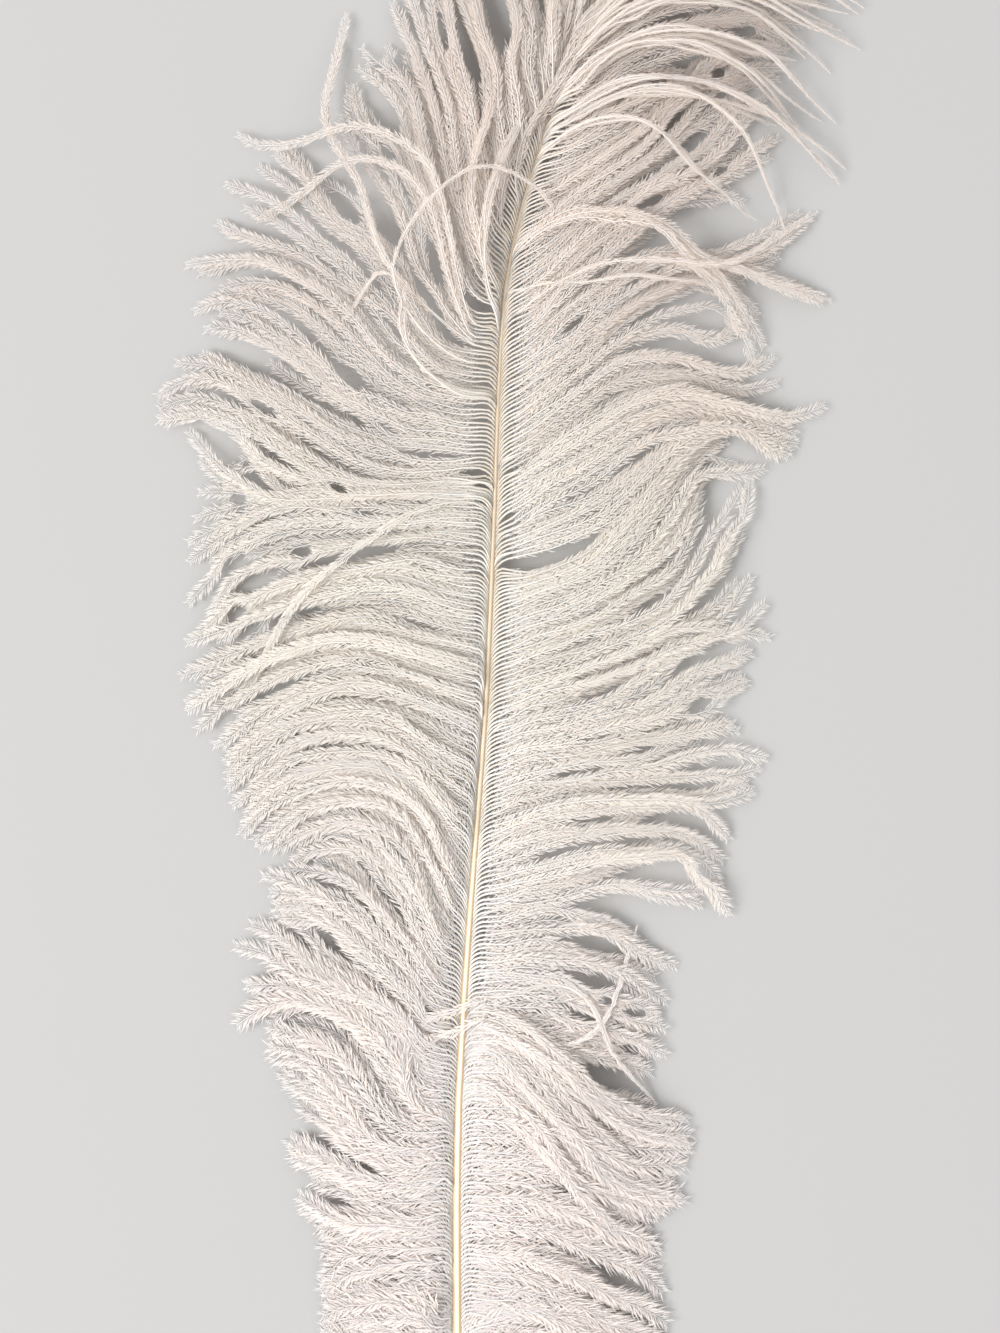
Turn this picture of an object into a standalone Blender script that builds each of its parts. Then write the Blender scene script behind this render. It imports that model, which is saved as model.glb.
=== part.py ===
"""An ostrich wing plume, lying on its underside with the quill towards -Y and the tip towards +Y.

The feather grew as one piece, so it is one solid: the shaft, the close inner vane on both sides
of it, and the long soft locks that the barbs gather into, all joined by one Boolean union.
Lengths are in metres. The routes of the shaft and of the locks were read off a photograph taken
from straight above, so they are written in its pixels and scaled to the real size.
"""

import math

import bmesh
import bpy
from mathutils import Vector

# Scale and place: the photograph is 1000 x 1333 pixels, x runs right and y runs down.
PIXEL = 0.00038  # metres on the feather for one pixel
MIDDLE_X = 501.72  # the pixel that lies over the origin, which is the middle of the feather
MIDDLE_Y = 755.0

# The lock, a flat swept body, widest in its middle and thin at its tip.
LOCK_WIDTH = 0.0195
LOCK_THICKNESS = 0.0030
LOCK_STATIONS = 8  # cross-sections along a lock
ROOT_SHARE = 0.50  # width at the shaft, as a share of LOCK_WIDTH
TIP_SHARE = 0.22  # width at the tip
WIDEST_AT = 0.42  # where along its length a lock is widest
SHORT_LOCK = 0.050  # a lock shorter than this is narrowed in proportion

# The inner vane: the smooth band of close-set barbs along both sides of the shaft.
VANE_WIDTH = 0.040
VANE_THICKNESS = 0.0018
VANE_STATIONS = 22

# The shaft, from the end of the quill to the tip of the feather.
# Each row is: pixel x, pixel y, width in mm, height of its underside over the surface in mm.
SHAFT_ROUTE = (
    (465, 1640, 2.6, 0.0),
    (464, 1632, 4.6, 0.0),
    (462, 1605, 5.6, 0.0),
    (459, 1530, 5.4, 0.4),
    (457, 1440, 4.9, 1.2),
    (457, 1333, 4.4, 2.0),
    (456.5, 1200, 4.0, 3.0),
    (458.5, 1100, 3.6, 3.5),
    (464, 1000, 3.3, 4.0),
    (471, 900, 3.1, 4.5),
    (479, 800, 2.9, 5.0),
    (486.5, 700, 2.7, 5.2),
    (491, 600, 2.5, 5.5),
    (495, 500, 2.2, 6.0),
    (498, 400, 1.9, 6.5),
    (503, 300, 1.7, 7.0),
    (523, 200, 1.4, 7.5),
    (540, 150, 1.2, 7.8),
    (554, 100, 1.1, 8.0),
    (570, 58, 1.0, 8.0),
    (592, 15, 0.9, 7.5),
    (618, -25, 0.8, 7.0),
    (650, -58, 0.7, 6.5),
)

# The shaft's section at a width of 1: a rounded back over a narrower, flatter underside.
SHAFT_SECTION = (
    (0.50, 0.02),
    (0.38, 0.30),
    (0.14, 0.44),
    (-0.14, 0.44),
    (-0.38, 0.30),
    (-0.50, 0.02),
    (-0.26, -0.44),
    (0.26, -0.44),
)
SHAFT_UNDERSIDE = 0.44  # how far that section reaches below its middle

# The locks left of the shaft, from the quill up.
# Each row is: pixel y of its root, rise of its crest in mm, then pixel points out to its tip.
LEFT_LOCKS = (
    (1532, 4, (441, 1510), (418, 1498), (402, 1494)),
    (1490, 5, (428, 1464), (390, 1448), (360, 1444)),
    (1446, 6, (416, 1418), (372, 1398), (336, 1392)),
    (1404, 7, (408, 1374), (358, 1350), (322, 1338)),
    (1364, 8, (405, 1336), (360, 1314), (328, 1300)),
    (1324, 7, (405, 1296), (362, 1268), (318, 1268)),
    (1282, 8, (405, 1256), (345, 1222), (290, 1201)),
    (1240, 7, (405, 1205), (350, 1172), (298, 1155)),
    (1196, 9, (405, 1168), (350, 1142), (280, 1134)),
    (1150, 8, (408, 1120), (350, 1082), (280, 1076)),
    (1112, 9, (412, 1078), (360, 1040), (315, 1022), (266, 1035)),
    (1078, 11, (420, 1048), (372, 1010), (300, 996), (248, 1012), (220, 1040)),
    (1036, 9, (422, 1006), (372, 965), (318, 955), (262, 955), (232, 943)),
    (988, 8, (430, 955), (384, 920), (330, 910), (264, 918)),
    (950, 9, (438, 908), (398, 872), (345, 872), (300, 878), (257, 873)),
    (916, 8, (442, 868), (402, 832), (355, 820), (310, 836), (270, 861)),
    (882, 10, (448, 834), (412, 792), (360, 778), (300, 793), (262, 817), (238, 845)),
    (844, 8, (454, 795), (418, 750), (365, 735), (300, 747), (255, 771), (215, 783)),
    (806, 10, (458, 758), (420, 716), (370, 698), (310, 697), (258, 714), (218, 757)),
    (766, 8, (461, 722), (422, 684), (370, 665), (300, 663), (245, 688), (190, 730)),
    (726, 10, (462, 686), (420, 650), (365, 632), (300, 637), (240, 670), (180, 712)),
    (684, 8, (462, 646), (416, 612), (355, 596), (290, 604), (240, 632), (182, 648)),
    (644, 10, (463, 612), (412, 576), (350, 558), (280, 566), (228, 592), (190, 622)),
    (604, 8, (465, 574), (410, 540), (348, 518), (275, 530), (218, 562), (178, 604)),
    (562, 10, (466, 538), (410, 510), (350, 494), (280, 503), (228, 524), (180, 521)),
    (524, 20, (470, 505), (400, 525), (350, 560), (300, 600), (268, 645), (240, 740)),
    (498, 8, (455, 490), (380, 490), (300, 494), (252, 484), (222, 462), (175, 418)),
    (466, 10, (450, 460), (390, 460), (330, 436), (270, 417), (200, 404), (140, 428)),
    (436, 8, (450, 432), (400, 424), (350, 405), (300, 388), (220, 372), (150, 387)),
    (408, 11, (455, 404), (410, 392), (362, 358), (310, 332), (245, 321), (178, 327)),
    (380, 8, (460, 374), (420, 360), (380, 324), (330, 286), (270, 266), (198, 270)),
    (356, 11, (466, 349), (434, 332), (408, 292), (376, 252), (320, 224), (208, 182)),
    (338, 16, (472, 330), (442, 308), (420, 262), (400, 205), (360, 162), (256, 219)),
    (318, 8, (477, 306), (450, 275), (430, 228), (402, 178), (350, 142), (237, 132)),
    (298, 12, (483, 280), (456, 242), (430, 194), (388, 152), (342, 108), (345, 10)),
    (274, 8, (491, 246), (466, 202), (442, 146), (408, 88), (362, 14)),
    (244, 11, (498, 210), (478, 165), (456, 110), (430, 48), (400, -20)),
    (208, 8, (507, 172), (492, 125), (474, 70), (456, 8), (436, -60)),
    (162, 11, (524, 130), (514, 82), (502, 28), (492, -32), (490, -92)),
    (112, 8, (546, 74), (546, 30), (552, -20), (568, -76), (598, -128)),
    (52, 10, (576, 18), (592, -24), (622, -70), (674, -116)),
)

# The locks right of the shaft, in the same way. Those near the tip sweep over and droop.
RIGHT_LOCKS = (
    (1532, 4, (475, 1513), (498, 1504), (515, 1503)),
    (1488, 6, (492, 1464), (540, 1456), (575, 1462)),
    (1440, 7, (498, 1414), (556, 1408), (612, 1430)),
    (1392, 8, (500, 1366), (562, 1364), (618, 1380), (652, 1402)),
    (1344, 7, (500, 1320), (560, 1318), (622, 1336), (670, 1354)),
    (1300, 9, (500, 1276), (555, 1272), (615, 1290), (668, 1320)),
    (1254, 7, (500, 1228), (552, 1224), (605, 1240), (662, 1266)),
    (1210, 9, (500, 1182), (546, 1174), (602, 1188), (678, 1210)),
    (1170, 8, (500, 1142), (545, 1132), (600, 1146), (645, 1168), (690, 1180)),
    (1130, 10, (500, 1100), (545, 1090), (600, 1108), (650, 1130), (697, 1145)),
    (1086, 8, (502, 1056), (548, 1046), (600, 1066), (630, 1082), (656, 1096)),
    (1038, 10, (503, 1008), (548, 1000), (600, 1022), (640, 1038), (672, 1050)),
    (988, 8, (505, 962), (552, 952), (604, 964), (645, 984), (678, 985)),
    (944, 9, (508, 920), (556, 908), (610, 902), (656, 910), (704, 906)),
    (904, 11, (512, 880), (565, 862), (625, 852), (685, 856), (718, 882), (738, 922)),
    (862, 8, (514, 838), (565, 822), (625, 816), (690, 814), (736, 838)),
    (826, 10, (517, 802), (570, 788), (628, 784), (695, 788), (765, 790)),
    (788, 8, (520, 764), (574, 746), (632, 738), (700, 742), (770, 757)),
    (748, 10, (523, 720), (578, 700), (638, 692), (700, 700), (749, 698)),
    (706, 8, (525, 678), (580, 658), (640, 646), (700, 646), (768, 645)),
    (668, 11, (526, 640), (582, 618), (640, 610), (700, 622), (743, 624), (771, 605)),
    (630, 8, (527, 600), (582, 578), (640, 570), (690, 588), (725, 604), (753, 585)),
    (594, 10, (528, 566), (586, 546), (640, 540), (690, 542), (730, 528), (757, 486)),
    (560, 8, (530, 534), (590, 508), (645, 484), (700, 476), (775, 463)),
    (528, 10, (530, 502), (584, 472), (636, 442), (685, 426), (735, 427), (797, 448)),
    (495, 11, (530, 470), (580, 440), (630, 408), (685, 393), (760, 408), (835, 395)),
    (460, 8, (530, 434), (578, 402), (628, 372), (680, 369), (735, 378), (777, 352)),
    (424, 10, (531, 396), (576, 361), (622, 325), (668, 297), (715, 298), (756, 330)),
    (398, 12, (533, 370), (578, 337), (624, 301), (670, 271), (720, 262), (833, 300)),
    (370, 16, (535, 342), (578, 307), (622, 275), (672, 260), (725, 258), (819, 208)),
    (338, 8, (536, 310), (572, 274), (612, 234), (660, 194), (715, 156), (768, 122)),
    (302, 11, (540, 270), (576, 228), (620, 186), (672, 146), (728, 108), (790, 72)),
    (276, 18, (542, 246), (578, 220), (620, 212), (668, 238), (712, 286), (758, 362)),
    (246, 14, (549, 213), (590, 174), (640, 136), (695, 108), (765, 116), (842, 181)),
    (214, 20, (545, 181), (568, 150), (602, 130), (642, 130), (688, 160), (758, 218)),
    (182, 16, (552, 147), (590, 109), (640, 84), (695, 92), (745, 136), (789, 242)),
    (148, 19, (560, 113), (600, 78), (650, 57), (702, 60), (772, 104), (848, 168)),
    (110, 15, (572, 76), (610, 40), (660, 18), (718, 18), (778, 48), (835, 94)),
    (68, 17, (586, 30), (622, -6), (670, -28), (732, -28), (800, -4), (863, 30)),
)


def clear_scene():
    """Remove every object, so that the feather stands alone in the file."""
    for obj in list(bpy.data.objects):
        bpy.data.objects.remove(obj, do_unlink=True)


def new_collection(name):
    """A collection of this name, linked to the scene."""
    collection = bpy.data.collections.new(name)
    bpy.context.scene.collection.children.link(collection)
    return collection


def spread(pixel_x, pixel_y, height):
    """The place of a pixel on the feather, at this height over the surface."""
    return Vector(((pixel_x - MIDDLE_X) * PIXEL, (MIDDLE_Y - pixel_y) * PIXEL, height))


def shaft_at(pixel_y):
    """The middle of the shaft where it passes this pixel row."""
    for low, high in zip(SHAFT_ROUTE, SHAFT_ROUTE[1:]):
        if high[1] <= pixel_y <= low[1]:
            share = (low[1] - pixel_y) / (low[1] - high[1])
            x, _, width, lift = (a + (b - a) * share for a, b in zip(low, high))
            return spread(x, pixel_y, (lift + width * SHAFT_UNDERSIDE) / 1000)
    raise ValueError(f"the shaft doesn't reach row {pixel_y}")


def smooth_route(points, stations):
    """Points at even steps along a smooth curve through the given points."""
    ends = [2 * points[0] - points[1], *points, 2 * points[-1] - points[-2]]
    fine = []
    for before, start, end, after in zip(ends, ends[1:], ends[2:], ends[3:]):
        for step in range(12):
            t = step / 12
            fine.append(
                0.5
                * (
                    2 * start
                    + (end - before) * t
                    + (2 * before - 5 * start + 4 * end - after) * t**2
                    + (3 * start - before - 3 * end + after) * t**3
                )
            )
    fine.append(points[-1])
    lengths = [0.0]
    for a, b in zip(fine, fine[1:]):
        lengths.append(lengths[-1] + (b - a).length)
    route, k = [], 0
    for station in range(stations):
        wanted = lengths[-1] * station / (stations - 1)
        while k < len(fine) - 2 and lengths[k + 1] < wanted:
            k += 1
        share = (wanted - lengths[k]) / (lengths[k + 1] - lengths[k])
        route.append(fine[k].lerp(fine[k + 1], share))
    return route, lengths[-1]


def closed_section(name, corners, collection):
    """A closed outline that a curve is swept with."""
    curve = bpy.data.curves.new(name, "CURVE")
    curve.dimensions = "2D"
    spline = curve.splines.new("POLY")
    spline.points.add(len(corners) - 1)
    for point, (x, y) in zip(spline.points, corners):
        point.co = (x, y, 0, 1)
    spline.use_cyclic_u = True
    section = bpy.data.objects.new(name, curve)
    section.hide_render = True
    section.display_type = "WIRE"
    collection.objects.link(section)
    return section


def swept(name, route, scales, section, collection):
    """A closed mesh: the section swept along the route and scaled at each of its points."""
    curve = bpy.data.curves.new(name, "CURVE")
    curve.dimensions = "3D"
    curve.twist_mode = "Z_UP"
    curve.bevel_mode = "OBJECT"
    curve.bevel_object = section
    curve.use_fill_caps = True
    spline = curve.splines.new("POLY")
    spline.points.add(len(route) - 1)
    for point, place, scale in zip(spline.points, route, scales):
        point.co = (*place, 1)
        point.radius = scale
    guide = bpy.data.objects.new(name + "_guide", curve)
    collection.objects.link(guide)
    graph = bpy.context.evaluated_depsgraph_get()
    mesh = bpy.data.meshes.new_from_object(guide.evaluated_get(graph))
    body = bpy.data.objects.new(name, mesh)
    body.matrix_world = guide.matrix_world
    collection.objects.link(body)
    bpy.data.objects.remove(guide, do_unlink=True)
    work = bmesh.new()
    work.from_mesh(mesh)
    bmesh.ops.remove_doubles(work, verts=work.verts, dist=0.00001)
    bmesh.ops.recalc_face_normals(work, faces=work.faces)
    work.to_mesh(mesh)
    work.free()
    return body


def as_helper(body):
    """Keep a body out of the finished model: it only takes part in the union."""
    body.hide_render = True
    body.display_type = "WIRE"


def make_shaft(collection, guides):
    """The quill and the shaft above it: one long tapering stem with a flatter underside."""
    section = closed_section("shaft_section", SHAFT_SECTION, guides)
    route, scales = [], []
    for x, y, width, lift in SHAFT_ROUTE:
        route.append(spread(x, y, (lift + width * SHAFT_UNDERSIDE) / 1000))
        scales.append(width / 1000)
    return swept("feather", route, scales, section, collection)


def flat_section(name, width, thickness, guides):
    """A flat lens, thick in its middle and thin at its two edges."""
    half, rise = width / 2, thickness / 2
    corners = ((half, 0), (0, rise), (-half, 0), (0, -rise))
    return closed_section(name, corners, guides)


def make_inner_vane(section, joined):
    """The band of close barbs beside the shaft, narrow at the quill and at the tip."""
    lowest, highest = LEFT_LOCKS[0][0], LEFT_LOCKS[-1][0]
    route, scales = [], []
    for station in range(VANE_STATIONS):
        share = station / (VANE_STATIONS - 1)
        route.append(shaft_at(lowest + (highest - lowest) * share))
        scales.append(0.1 + 0.9 * math.sin(math.pi * share) ** 0.35)
    body = swept("inner_vane", route, scales, section, joined)
    as_helper(body)


def lock_scale(share):
    """Width of a lock along its length, as a share of its widest."""
    if share < WIDEST_AT:
        bend = math.sin(0.5 * math.pi * share / WIDEST_AT)
        return ROOT_SHARE + (1 - ROOT_SHARE) * bend
    bend = math.cos(0.5 * math.pi * (share - WIDEST_AT) / (1 - WIDEST_AT))
    return TIP_SHARE + (1 - TIP_SHARE) * bend


def make_lock(name, row, section, joined):
    """One lock of barbs: it leaves the shaft, rises to its crest and droops to the surface."""
    root_y, crest, *points = row
    root = shaft_at(root_y)
    flat = [root] + [spread(x, y, root.z) for x, y in points]
    route, length = smooth_route(flat, LOCK_STATIONS)
    slim = min(1.0, length / SHORT_LOCK)
    scales = []
    for station, place in enumerate(route):
        share = station / (LOCK_STATIONS - 1)
        scale = lock_scale(share) * slim
        resting = scale * LOCK_THICKNESS / 2
        rise = crest / 1000 * math.sin(math.pi * share**0.8)
        place.z = root.z * (1 - share) + resting * share + rise
        scales.append(scale)
    body = swept(name, route, scales, section, joined)
    as_helper(body)


def islands(work):
    """The separate skins of a mesh, each as a list of its faces."""
    found, seen = [], set()
    for first in work.faces:
        if first in seen:
            continue
        skin, waiting = [], [first]
        seen.add(first)
        while waiting:
            face = waiting.pop()
            skin.append(face)
            for edge in face.edges:
                for other in edge.link_faces:
                    if other not in seen:
                        seen.add(other)
                        waiting.append(other)
        found.append(skin)
    return found


def grow_together(feather, joined):
    """Join the vane and the locks to the shaft, and fill any pocket closed in between them."""
    union = feather.modifiers.new("grown_together", "BOOLEAN")
    union.operation = "UNION"
    union.solver = "EXACT"
    union.operand_type = "COLLECTION"
    union.collection = joined
    graph = bpy.context.evaluated_depsgraph_get()
    mesh = bpy.data.meshes.new_from_object(feather.evaluated_get(graph))
    feather.modifiers.remove(union)
    feather.data = mesh
    work = bmesh.new()
    work.from_mesh(mesh)
    skins = sorted(islands(work), key=len)
    pockets = [face for skin in skins[:-1] for face in skin]
    bmesh.ops.delete(work, geom=pockets, context="FACES")
    work.to_mesh(mesh)
    work.free()


def make_material():
    """Ivory keratin: matt, slightly warm."""
    material = bpy.data.materials.new("ivory_plume")
    material.use_nodes = True
    shader = material.node_tree.nodes["Principled BSDF"]
    shader.inputs["Base Color"].default_value = (0.86, 0.82, 0.74, 1)
    shader.inputs["Roughness"].default_value = 0.75
    shader.inputs["Metallic"].default_value = 0.0
    return material


def main():
    clear_scene()
    model = new_collection("ostrich_feather")
    joined = new_collection("joined_to_shaft")
    guides = new_collection("guides")
    feather = make_shaft(model, guides)
    make_inner_vane(flat_section("vane_section", VANE_WIDTH, VANE_THICKNESS, guides), joined)
    section = flat_section("lock_section", LOCK_WIDTH, LOCK_THICKNESS, guides)
    for side, rows in (("left", LEFT_LOCKS), ("right", RIGHT_LOCKS)):
        for number, row in enumerate(rows, 1):
            make_lock(f"lock_{side}_{number:02}", row, section, joined)
    grow_together(feather, joined)
    feather.data.materials.clear()
    feather.data.materials.append(make_material())


main()
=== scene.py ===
# %% [markdown]
# # An ostrich plume, barb by barb
# An ostrich wing feather has a tapering shaft and, on each side of it, some 350 long thin barbs.
# Each barb carries two rows of soft barbules. Nothing hooks the barbs together, so they gather
# into loose locks that arch, cross and droop.
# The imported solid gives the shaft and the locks. This script lays real barbs along those locks.

# %% Load the frame
import math

import bpy
import numpy as np
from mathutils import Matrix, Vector


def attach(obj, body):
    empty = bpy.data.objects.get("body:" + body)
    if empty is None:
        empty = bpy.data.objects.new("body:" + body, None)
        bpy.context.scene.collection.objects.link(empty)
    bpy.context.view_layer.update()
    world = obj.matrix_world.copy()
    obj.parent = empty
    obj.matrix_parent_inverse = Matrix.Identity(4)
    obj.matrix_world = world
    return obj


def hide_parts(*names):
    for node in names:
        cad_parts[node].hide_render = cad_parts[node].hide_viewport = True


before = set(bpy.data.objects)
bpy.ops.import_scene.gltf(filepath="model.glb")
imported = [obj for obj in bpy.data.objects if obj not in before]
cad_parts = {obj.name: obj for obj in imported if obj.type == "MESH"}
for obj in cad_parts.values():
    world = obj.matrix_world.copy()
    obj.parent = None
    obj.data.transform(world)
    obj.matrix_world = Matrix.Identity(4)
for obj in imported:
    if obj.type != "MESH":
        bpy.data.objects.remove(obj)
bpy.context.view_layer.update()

# %% [markdown]
# ## Where things are
# The shape of this feather was read off a photograph taken from straight above, so its routes are
# written in that picture's pixels. One scale and one middle point turn a pixel into metres.
# Writing them so, and not in metres, keeps each number easy to check against the picture.

# %% From a pixel to a place
PIXEL = 0.00038  # metres on the feather for one pixel
MIDDLE_X = 501.72  # the pixel over the origin
MIDDLE_Y = 755.0
PHOTO_WIDTH = 1000
PHOTO_HEIGHT = 1333


def spread(pixel_x, pixel_y, height=0.0):
    """The place of a pixel on the feather, at this height over the surface."""
    return np.array(((pixel_x - MIDDLE_X) * PIXEL, (MIDDLE_Y - pixel_y) * PIXEL, height))


print("the picture shows", round(PHOTO_WIDTH * PIXEL, 3), "x", round(PHOTO_HEIGHT * PIXEL, 3), "m")

# %% [markdown]
# ## The shaft's route
# The shaft runs almost straight and bends to the right near the tip. Each row gives the pixel that
# its middle passes, its width in millimetres, and how many millimetres its underside is over the
# surface. The part's solid has the same rows. A barb stands low on the shaft's side, and not on
# its back, so that the back shows as a clean bright line between the two vanes.

# %% The route and the width of the shaft
SHAFT_UNDERSIDE = 0.44  # how far the shaft reaches below its middle, at a width of 1
FOOT_ABOVE = 0.1  # how far over its middle a barb stands on it, at a width of 1
FOOT_ASIDE = 0.40  # and how far to the side
SHAFT_ROUTE = (
    (465, 1640, 2.6, 0.0),
    (464, 1632, 4.6, 0.0),
    (462, 1605, 5.6, 0.0),
    (459, 1530, 5.4, 0.4),
    (457, 1440, 4.9, 1.2),
    (457, 1333, 4.4, 2.0),
    (456.5, 1200, 4.0, 3.0),
    (458.5, 1100, 3.6, 3.5),
    (464, 1000, 3.3, 4.0),
    (471, 900, 3.1, 4.5),
    (479, 800, 2.9, 5.0),
    (486.5, 700, 2.7, 5.2),
    (491, 600, 2.5, 5.5),
    (495, 500, 2.2, 6.0),
    (498, 400, 1.9, 6.5),
    (503, 300, 1.7, 7.0),
    (512, 250, 1.55, 7.2),
    (523, 200, 1.4, 7.5),
    (540, 150, 1.2, 7.8),
    (554, 100, 1.1, 8.0),
    (570, 58, 1.0, 8.0),
    (592, 15, 0.9, 7.5),
    (618, -25, 0.8, 7.0),
    (650, -58, 0.7, 6.5),
)


def shaft_row(pixel_y):
    """(pixel x, width, height of the underside) of the shaft at this row, the last two in metres."""
    rows = np.array(SHAFT_ROUTE[::-1])
    x, width, lift = (np.interp(pixel_y, rows[:, 1], rows[:, c]) for c in (0, 2, 3))
    return x, width / 1000, lift / 1000


def shaft_side(pixel_y, sign):
    """Where a barb leaves the shaft: low on its left side (sign -1) or its right side (+1)."""
    x, width, lift = shaft_row(pixel_y)
    place = spread(x, pixel_y, lift + width * (SHAFT_UNDERSIDE + FOOT_ABOVE))
    place[0] += sign * width * FOOT_ASIDE
    return place


# %% [markdown]
# ## The locks
# A barb isn't free to go where it likes: its neighbours press on it, so dozens of barbs flow
# together. Each row below is one lock: the row of pixels where it leaves the shaft, how high its
# crest rises in millimetres, and points along it out to its tip. Reading locks off a picture and
# filling in the barbs between them is far less work than placing barbs, and it keeps the
# feather's own silhouette.

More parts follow.
